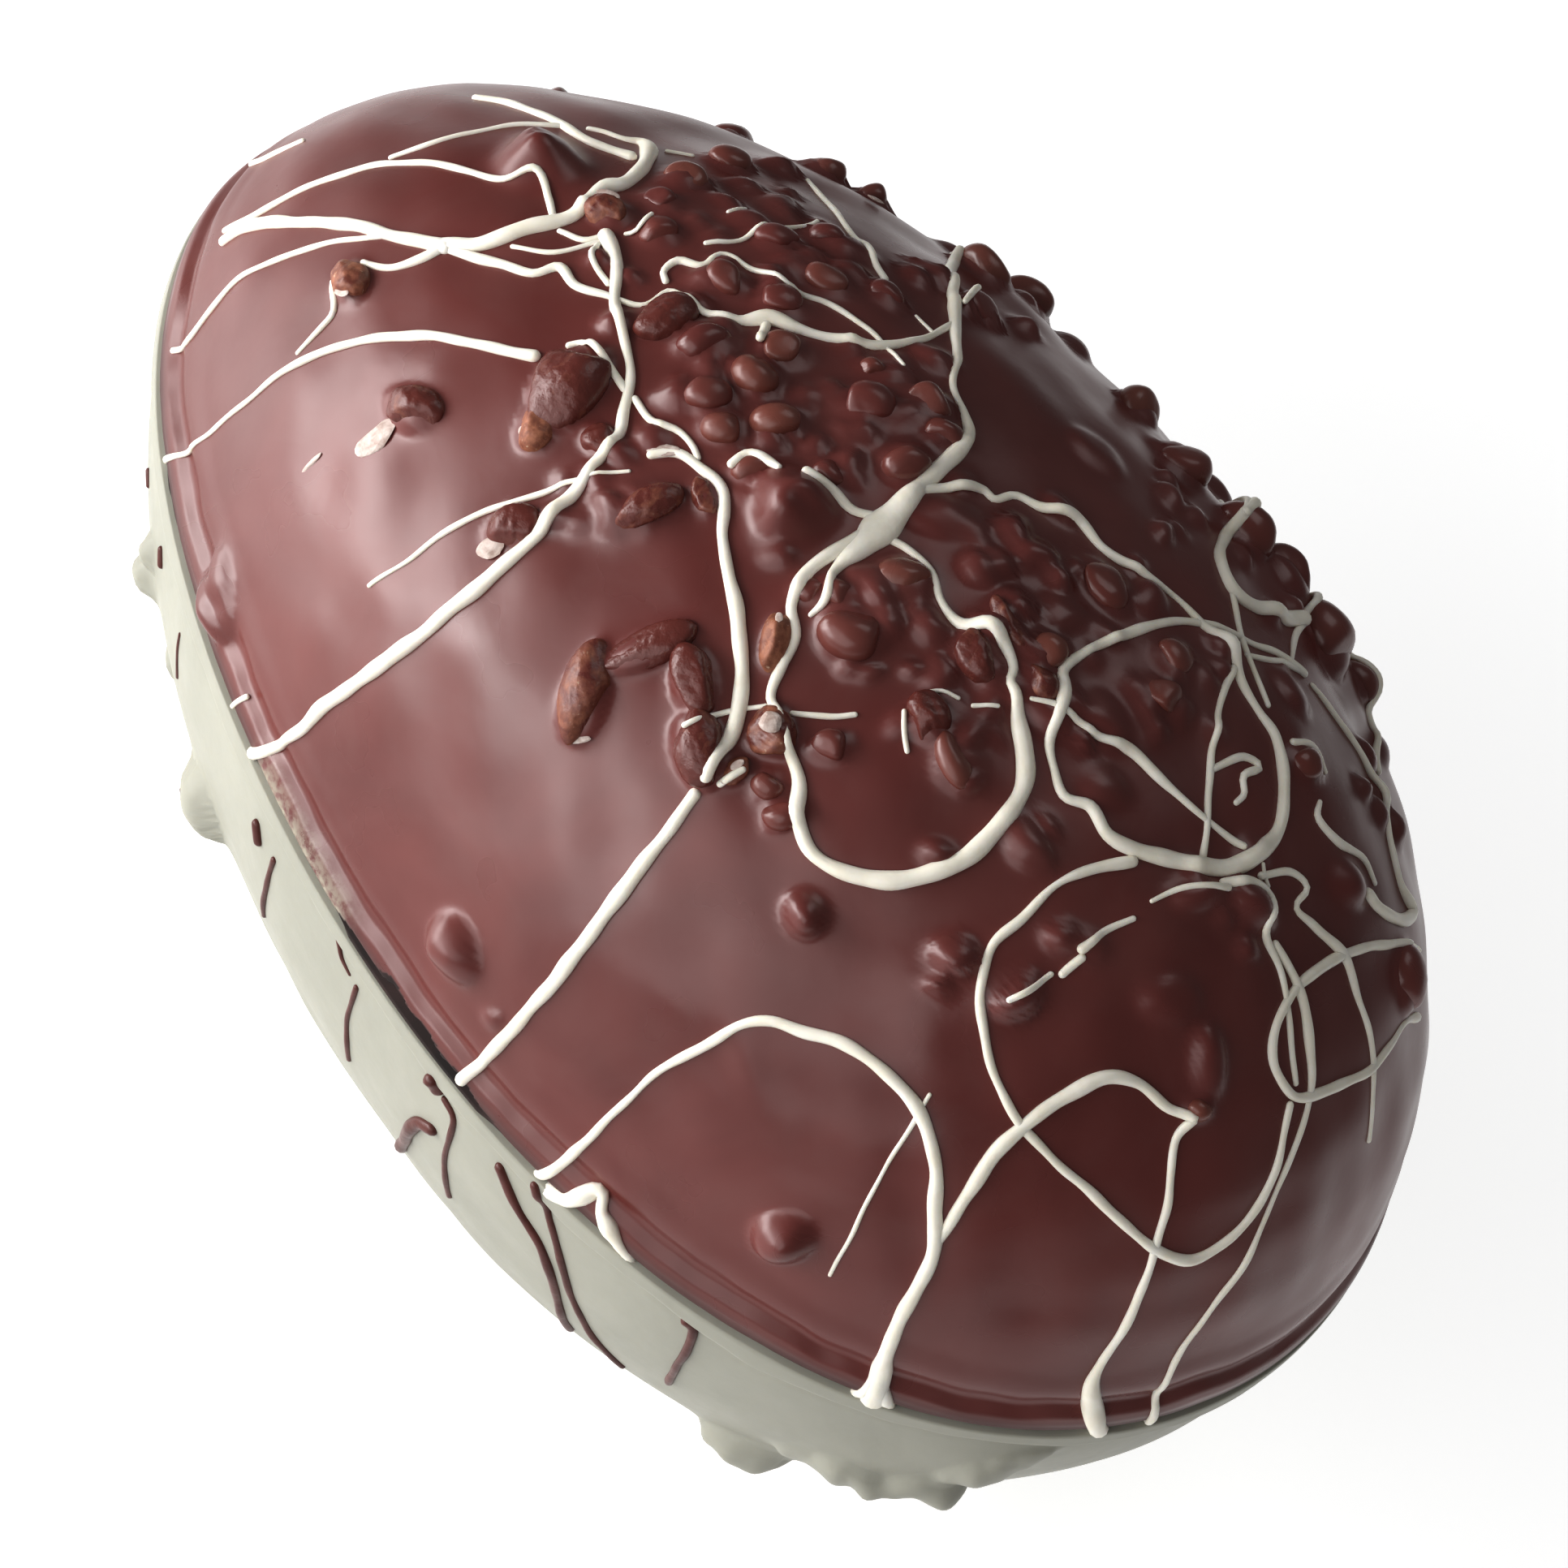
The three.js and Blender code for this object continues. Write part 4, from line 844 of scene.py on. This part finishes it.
def bits_piece(name, lumps, kind, levels, thicknesses, random, smooth=True):
    """Bits as one mesh: each as long and wide as its lump, its middle at its own level over the
    shell, with a fine grain."""
    ball, ball_faces = unit_ball(kind.fineness)
    bits = []
    for seed, (lump, level, thickness) in enumerate(zip(lumps, levels, thicknesses)):
        axes = np.array([lump.along * lump.length * kind.spread,
                         lump.aside * lump.width * kind.spread, lump.normal * thickness])
        form = broken_ball(ball, kind.cuts, kind.sharpness, random) @ axes
        points = lump.place + lump.normal * level + form
        points += unit(form) * kind.grain * waves(points, GRAIN_SIZE, seed)[:, None]
        bits.append((points, ball_faces))
    return joined_piece(name, bits, smooth)


def plan_paths(strands):
    paths = []
    for path in strands.values():
        points = drop_from_plan([waypoint[:2] for waypoint in path])
        paths.append([(*point, waypoint[2]) for point, waypoint in zip(points, path)])
    return paths


def far_white_paths():
    """Waves of drizzle over the far flank, from the crest down to the rim."""
    paths = []
    for strand in range(FAR_STRANDS):
        start = FAR_STRAND_STATIONS[0] + FAR_STRAND_STATIONS[1] * strand / (FAR_STRANDS - 1)
        lean = 2.5 if strand % 2 else -2.5
        wave = []
        for stop in range(6):
            drift = 7 * math.sin(1.9 * stop + 1.3 * strand) + lean * stop
            turn = FAR_STRAND_TURNS[0] + FAR_STRAND_TURNS[1] * stop
            point = shell_point(start + drift, turn)
            if faces_away(point)[0]:
                wave.append((*point, FAR_STRAND_WIDTH * (1 - 0.07 * stop)))
        if len(wave) > 2:
            paths.append(wave)
    return paths


def far_dark_paths():
    """Dark drizzle down the far side of the white half, from just under the rim."""
    random = np.random.default_rng(21)
    under_rim = -180 + 3
    paths = []
    for line in range(FAR_DARK_LINES):
        share = (line + random.random()) / FAR_DARK_LINES
        station = FAR_DARK_STATIONS[0] + FAR_DARK_STATIONS[1] * share
        depth = random.uniform(*FAR_DARK_DEPTHS)
        width = random.uniform(*FAR_DARK_WIDTHS)
        path = []
        for stop in range(4):
            sway = 1.3 * math.sin(1.7 * stop + line)
            path.append((*shell_point(station + sway, under_rim + depth * stop / 3), width))
        paths.append(path)
    return paths


# ---- Materials ----
class Surface:
    """A material in the making. Colours are linear; noise scales are in features to the metre."""

    def __init__(self, name):
        self.material = bpy.data.materials.new(name)
        self.material.use_nodes = True
        self.tree = self.material.node_tree

    def feed(self, node, inputs):
        """Gives each of a node's inputs a number, a colour or another node's output."""
        for name, source in inputs.items():
            socket = node.inputs[name]
            if isinstance(source, bpy.types.NodeSocket):
                self.tree.links.new(source, socket)
            elif socket.type == "RGBA":
                socket.default_value = (*source, 1)
            else:
                socket.default_value = source

    def add(self, kind, output, inputs, **settings):
        node = self.tree.nodes.new("ShaderNode" + kind)
        for name, value in settings.items():
            setattr(node, name, value)
        self.feed(node, inputs)
        return node.outputs[output]

    def place(self):
        return self.add("TexCoord", "Object", {})

    def noise(self, scale, detail, roughness=0.5, distortion=0.0):
        return self.add("TexNoise", "Fac", {
            "Vector": self.place(), "Scale": scale, "Detail": detail, "Roughness": roughness,
            "Distortion": distortion})

    def ranged(self, source, low_in, high_in, low_out=0, high_out=1):
        """Maps a value from one range to another, held at the ends."""
        return self.add("MapRange", "Result", {
            "Value": source, "From Min": low_in, "From Max": high_in, "To Min": low_out,
            "To Max": high_out})

    def mixed(self, amount, first, second):
        """Mixes two colours."""
        return self.add("Mix", "Result", {"Factor": amount, "A": first, "B": second},
                        data_type="RGBA")

    def reckoned(self, operation, first, second):
        return self.add("Math", "Value", {0: first, 1: second}, operation=operation)

    def painted(self, name):
        """The value that the mesh carries under this name."""
        return self.add("Attribute", "Fac", {}, attribute_name=name)

    def skin(self, grain, depth, strength):
        """A fine bump of this depth in metres."""
        return self.add("Bump", "Normal", {
            "Height": grain, "Distance": depth, "Strength": strength})

    def finished(self, inputs):
        self.feed(self.tree.nodes["Principled BSDF"], inputs)
        return self.material


def dark_chocolate(thin=False):
    """Tempered dark milk chocolate: satin and faintly clouded, redder where it is thin over a
    crisp. The shell is dull along its foot and in its groove, where it is painted dark as shade,
    and smeared pale in one place."""
    it = Surface("thin_chocolate" if thin else "dark_chocolate")
    cloud = it.ranged(it.noise(38, 3, 0.5, 0.5), 0.3, 0.7)
    colour = it.mixed(cloud, (0.113, 0.0235, 0.0195), (0.160, 0.0400, 0.0340))
    smoothest = 0.24 if thin else 0.27
    gloss = it.ranged(it.noise(70, 3), 0.3, 0.7, smoothest - 0.03, smoothest + 0.11)
    if thin:
        colour = it.mixed(it.painted("thin_coating"), colour, (0.19, 0.062, 0.044))
    else:
        flecks = it.ranged(it.noise(700, 5, 0.65), 0.36, 0.58, 0, 0.85)
        smear = it.reckoned("MULTIPLY", flecks, it.painted("smear"))
        # Painted shade: the groove under the broken foot, and a band along the foot, are darkened
        # towards near black.
        groove = it.painted("groove")
        colour = it.mixed(smear, colour, (0.36, 0.34, 0.27))
        colour = it.mixed(groove, colour, (0.012, 0.006, 0.005))
        for dull in (groove, smear):
            gloss = it.reckoned("MAXIMUM", gloss, dull)
    bloom = it.ranged(it.noise(62, 5, 0.6, 0.8), 0.42, 0.72, 0, 0.24)
    return it.finished({
        "Base Color": it.mixed(bloom, colour, (0.17, 0.075, 0.066)),
        "Roughness": gloss,
        "Normal": it.skin(it.noise(330, 2), 0.0003, 0.10),
        "Specular IOR Level": 0.52,
        "Coat Weight": 0.28,
        "Coat Roughness": 0.6,
    })


def white_chocolate():
    """Ivory white chocolate: satin, a little translucent, faintly clouded."""
    it = Surface("white_chocolate")
    cloud = it.ranged(it.noise(38, 4, 0.6, 0.5), 0.35, 0.7)
    return it.finished({
        "Base Color": it.mixed(cloud, (0.325, 0.32, 0.275), (0.372, 0.365, 0.315)),
        "Roughness": it.ranged(it.noise(140, 5, 0.6), 0.3, 0.7, 0.40, 0.52),
        "Normal": it.skin(it.noise(380, 3), 0.0004, 0.2),
        "Specular IOR Level": 0.3,
        "Subsurface Weight": 0.12,
        "Subsurface Radius": (1.0, 0.75, 0.45),
        "Subsurface Scale": 0.002,
    })


def drizzled(name, cloud_scale, shades, glosses, others):
    """Chocolate laid on thinly: clouded between two shades, with a soft sheen."""
    it = Surface(name)
    cloud = it.ranged(it.noise(cloud_scale, 4, 0.6, 0.5), 0.35, 0.7)
    return it.finished({
        "Base Color": it.mixed(cloud, *shades),
        "Roughness": it.ranged(it.noise(300, 4, 0.6), 0.3, 0.7, *glosses),
        "Normal": it.skin(it.noise(900, 3), 0.0002, 0.3),
        **others,
    })


def white_drizzle():
    shades = ((0.82, 0.775, 0.665), (0.90, 0.865, 0.785))
    return drizzled("white_drizzle", 210, shades, (0.36, 0.5), {
        "Subsurface Weight": 0.15,
        "Subsurface Radius": (1.0, 0.7, 0.4),
        "Subsurface Scale": 0.001,
    })


def dark_drizzle():
    """Thin dark lines are a little glossier than the moulded half."""
    shades = ((0.085, 0.026, 0.022), (0.13, 0.046, 0.038))
    return drizzled("dark_drizzle", 240, shades, (0.28, 0.40), {"Specular IOR Level": 0.38})


def roasted_nut():
    """Roasted nut: golden brown and speckled, smeared with chocolate where it is less bare."""
    it = Surface("roasted_nut")
    grain = it.ranged(it.noise(900, 4, 0.6, 0.4), 0.35, 0.65)
    flesh = it.mixed(grain, (0.20, 0.070, 0.042), (0.36, 0.155, 0.09))
    specks = it.ranged(it.noise(1500, 3, 0.6), 0.64, 0.72, 0, 0.7)
    flesh = it.mixed(specks, flesh, (0.62, 0.48, 0.36))
    smear = it.reckoned("ADD", it.noise(420, 3, 0.55, 0.8), it.painted("bareness"))
    shown = it.ranged(smear, 0.95, 1.35)
    return it.finished({
        "Base Color": it.mixed(shown, (0.125, 0.033, 0.026), flesh),
        "Roughness": it.ranged(shown, 0, 1, 0.27, 0.55),
        "Normal": it.skin(it.noise(1300, 4, 0.6), 0.0002, 0.5),
    })


def nut_flesh():
    """The pale broken inside of a nut."""
    it = Surface("nut_flesh")
    grain = it.ranged(it.noise(800, 4, 0.6, 0.4), 0.35, 0.65)
    return it.finished({
        "Base Color": it.mixed(grain, (0.40, 0.30, 0.26), (0.62, 0.54, 0.50)),
        "Roughness": 0.6,
        "Normal": it.skin(it.noise(1600, 4, 0.6), 0.00015, 0.4),
    })


# The floor's glow: its middle, how near and how far from it the glow fades (m), and its strength.
# The first is under the egg, and the second beside the narrow end, where the sheen mirrors it.
FLOOR_GLOWS = [((0, 0, 0), (0.25, 0.8), 0.48), ((-0.291, -0.155, 0), (0.09, 0.19), 1.6)]


def studio_floor():
    """A pale table lit from within near the egg."""
    it = Surface("studio_floor")
    glows = []
    for middle, reach, strength in FLOOR_GLOWS:
        away = it.add("VectorMath", "Value", {0: it.place(), 1: middle}, operation="DISTANCE")
        glows.append(it.ranged(away, *reach, strength, 0))
    return it.finished({
        "Base Color": (0.75, 0.75, 0.75),
        "Roughness": 0.9,
        "Specular IOR Level": 0.1,
        "Emission Color": (1.0, 1.0, 1.0),
        "Emission Strength": it.reckoned("ADD", *glows),
    })


# ---- The pieces ----
def paint(piece, name, values):
    """Gives a piece's vertices, in order, values for its material. With fewer values than vertices,
    as where there is one for each bit, each value covers the same number of vertices."""
    each = len(piece.data.vertices) // len(values)
    attribute = piece.data.attributes.new(name, "FLOAT", "POINT")
    attribute.data.foreach_set("value", np.repeat(np.asarray(values, np.float32), each))


def mark_foot(shell):
    """Marks the vertices under the pale smear on the foot, and those painted dark as shade in a
    band along the foot and in its groove.
    """
    flat = np.empty(3 * len(shell.data.vertices))
    shell.data.vertices.foreach_get("co", flat)
    points = flat.reshape(-1, 3) / MM - (0, 0, SEAM_HEIGHT)
    middle, half_length, height = SMEAR
    along = 1 - ((points[:, 0] - middle) / half_length) ** 2
    amount = np.clip(2 * along, 0, 1) * np.clip(1.5 * (1 - points[:, 2] / height), 0, 1)
    gap = foot_gap(points)
    broken = (gap > FOOT_SILL) & (points[:, 2] < gap + 0.3)
    band_height, band_darkness = FOOT_SHADE
    band = band_darkness * np.clip(2 * (1 - points[:, 2] / band_height), 0, 1)
    paint(shell, "smear", amount * (points[:, 1] < 0))
    # The groove and the band along the foot are painted dark as shade.
    paint(shell, "groove", np.maximum(broken, band * (1 - amount)))


def seats(half, lumps):
    """How high each bit's middle is over the shell and its swells, and how thick the bit is."""
    ground = swollen(np.array([lump.place for lump in lumps]), half.swells)
    levels = [level + BIT_LIFT * lump.height for level, lump in zip(ground, lumps)]
    return levels, [BIT_THICKNESS * lump.height for lump in lumps]


def build_dark_half(random):
    """The dark half: its shell, its crisps, its nuts and the pale chips on it."""
    buried = plan_lumps(BURIED, SOFT, random) + plan_lumps(PEAKS, PEAKED, random)
    buried += crowded_lumps(random)
    crisps = plan_lumps(CRISPS, ROUND, random)
    nuts = plan_lumps([row[:6] for row in NUTS], ROUND, random)
    chips = plan_lumps(PALE_CHIPS, ROUND, random)
    crisps += scattered_lumps(FAR_CRISPS, 11, lambda i, draw: 112 + 58 * draw**1.5, random)
    half = Half(sign=1, lip=DARK_LIP, buried=buried, standing=crisps + nuts,
                swells=plan_lumps(SWELLS, SOFT, random), softness=0.42, unevenness=0.21, seed=3)

    shell = half_piece("Dark_shell", half, DARK_FULLNESS)
    mark_foot(shell)
    shell.data.materials.append(dark_chocolate())

    crisp_bits = bits_piece("Crisps", crisps, CRISP_KIND, *seats(half, crisps), random)
    paint(crisp_bits, "thin_coating", [random.uniform(0, 1) for _ in crisps])
    crisp_bits.data.materials.append(dark_chocolate(thin=True))

    nut_bits = bits_piece("Nut_pieces", nuts, NUT_KIND, *seats(half, nuts), random)
    paint(nut_bits, "bareness", [row[6] for row in NUTS])
    nut_bits.data.materials.append(roasted_nut())

    levels = [row[4] for row in PALE_CHIPS]
    thicknesses = [CHIP_THICKNESS * chip.width for chip in chips]
    chip_bits = bits_piece("Pale_chips", chips, CHIP_KIND, levels, thicknesses, random, False)
    chip_bits.data.materials.append(nut_flesh())

    for piece in (shell, crisp_bits, nut_bits, chip_bits):
        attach(piece, "root")
        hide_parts("dark_half")
    return half


def build_white_half(random):
    lumps = plan_lumps(WHITE_LUMPS, ROUND, random)
    lumps += scattered_lumps(
        WHITE_SCATTER, 5, lambda i, draw: -46 - 12 * draw if i % 2 else -165 + 40 * draw, random)
    half = Half(sign=-1, lip=WHITE_LIP, buried=lumps, standing=[],
                swells=plan_lumps(WHITE_SWELLS, SOFT, random), softness=0.55, unevenness=0.12,
                seed=8)
    piece = half_piece("White_shell", half, WHITE_FULLNESS)
    piece.data.materials.append(white_chocolate())
    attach(piece, "root")
    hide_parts("white_half")
    return half


def build_drizzle(dark, white):
    pale = drizzle_piece("White_drizzle", plan_paths(WHITE_DRIZZLE) + far_white_paths(), dark)
    pale.data.materials.append(white_drizzle())
    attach(pale, "root")
    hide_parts("dark_half")
    brown = drizzle_piece("Dark_drizzle", plan_paths(DARK_DRIZZLE) + far_dark_paths(), white)
    brown.data.materials.append(dark_drizzle())
    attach(brown, "root")


# ---- Floor, light and camera ----
FLOOR_HALF_SIDE = 3.0    # metres
# Each softbox: azimuth and elevation (degrees), distance, width and height (m), and radiance.
SOFTBOXES = {
    "Key": (-145, 6.6, 0.7, 0.46, 0.28, 7.0),
    "Side": (-117, 9, 1.2, 0.7, 0.44, 3.7),
    "Fill": (-92, 24, 1.9, 2.6, 1.4, 1.55),
    "Top": (105, 64, 1.5, 0.8, 0.8, 1.2),
}
ROOM_RADIANCE = 0.12
SENSOR = 36.0
EXPOSURE = 0.45
GAMMA = 0.8


def build_floor():
    signs = ((-1, -1), (1, -1), (1, 1), (-1, 1))
    mesh = bpy.data.meshes.new("Floor")
    mesh.from_pydata([(FLOOR_HALF_SIDE * a, FLOOR_HALF_SIDE * b, 0) for a, b in signs], [],
                     [(0, 1, 2, 3)])
    floor = bpy.data.objects.new("Floor", mesh)
    floor.data.materials.append(studio_floor())
    bpy.context.scene.collection.objects.link(floor)


def add_softbox(name, azimuth, elevation, distance, width, height, radiance):
    """A soft light panel that faces the egg."""
    light = bpy.data.lights.new(name, "AREA")
    light.shape = "RECTANGLE"
    light.size, light.size_y = width, height
    light.energy = radiance * math.pi * width * height
    lamp = bpy.data.objects.new(name, light)
    turn, rise = math.radians(azimuth), math.radians(elevation)
    towards = Vector((math.cos(turn) * math.cos(rise), math.sin(turn) * math.cos(rise),
                      math.sin(rise)))
    lamp.location = Vector((0, 0, SEAM_HEIGHT * MM)) + towards * distance
    lamp.rotation_mode = "QUATERNION"
    lamp.rotation_quaternion = towards.to_track_quat("Z", "Y")
    bpy.context.scene.collection.objects.link(lamp)


def build_lights():
    for name, softbox in SOFTBOXES.items():
        add_softbox(name, *softbox)
    world = bpy.data.worlds.new("Studio")
    world.use_nodes = True
    background = world.node_tree.nodes["Background"]
    background.inputs["Color"].default_value = (1.0, 1.0, 1.0, 1)
    background.inputs["Strength"].default_value = ROOM_RADIANCE
    bpy.context.scene.world = world


def build_camera():
    """The camera looks along the plan's line of sight, with the plan's own middle and size."""
    data = bpy.data.cameras.new("Camera")
    data.sensor_width = SENSOR
    data.lens = SENSOR * PLAN_DISTANCE / (PLAN_SIZE * PLAN_UNIT)
    data.clip_start = 0.1
    data.clip_end = 20
    camera = bpy.data.objects.new("Camera", data)
    aside = (PLAN_SIZE / 2 - PLAN_MIDDLE[0]) * PLAN_UNIT
    above = (PLAN_MIDDLE[1] - PLAN_SIZE / 2) * PLAN_UNIT
    place = PLAN_BACK * PLAN_DISTANCE + PLAN_RIGHT * aside + PLAN_UP * above + (0, 0, SEAM_HEIGHT)
    turned = Matrix([PLAN_RIGHT, PLAN_UP, PLAN_BACK]).transposed().to_4x4()
    camera.matrix_world = Matrix.Translation(Vector(place * MM)) @ turned
    bpy.context.scene.collection.objects.link(camera)
    bpy.context.scene.camera = camera


random_source = np.random.default_rng(7)
dark_half = build_dark_half(random_source)
white_half = build_white_half(random_source)
build_drizzle(dark_half, white_half)
build_floor()
build_lights()
build_camera()
bpy.context.scene.view_settings.view_transform = "Standard"
bpy.context.scene.view_settings.exposure = EXPOSURE
bpy.context.scene.view_settings.gamma = GAMMA
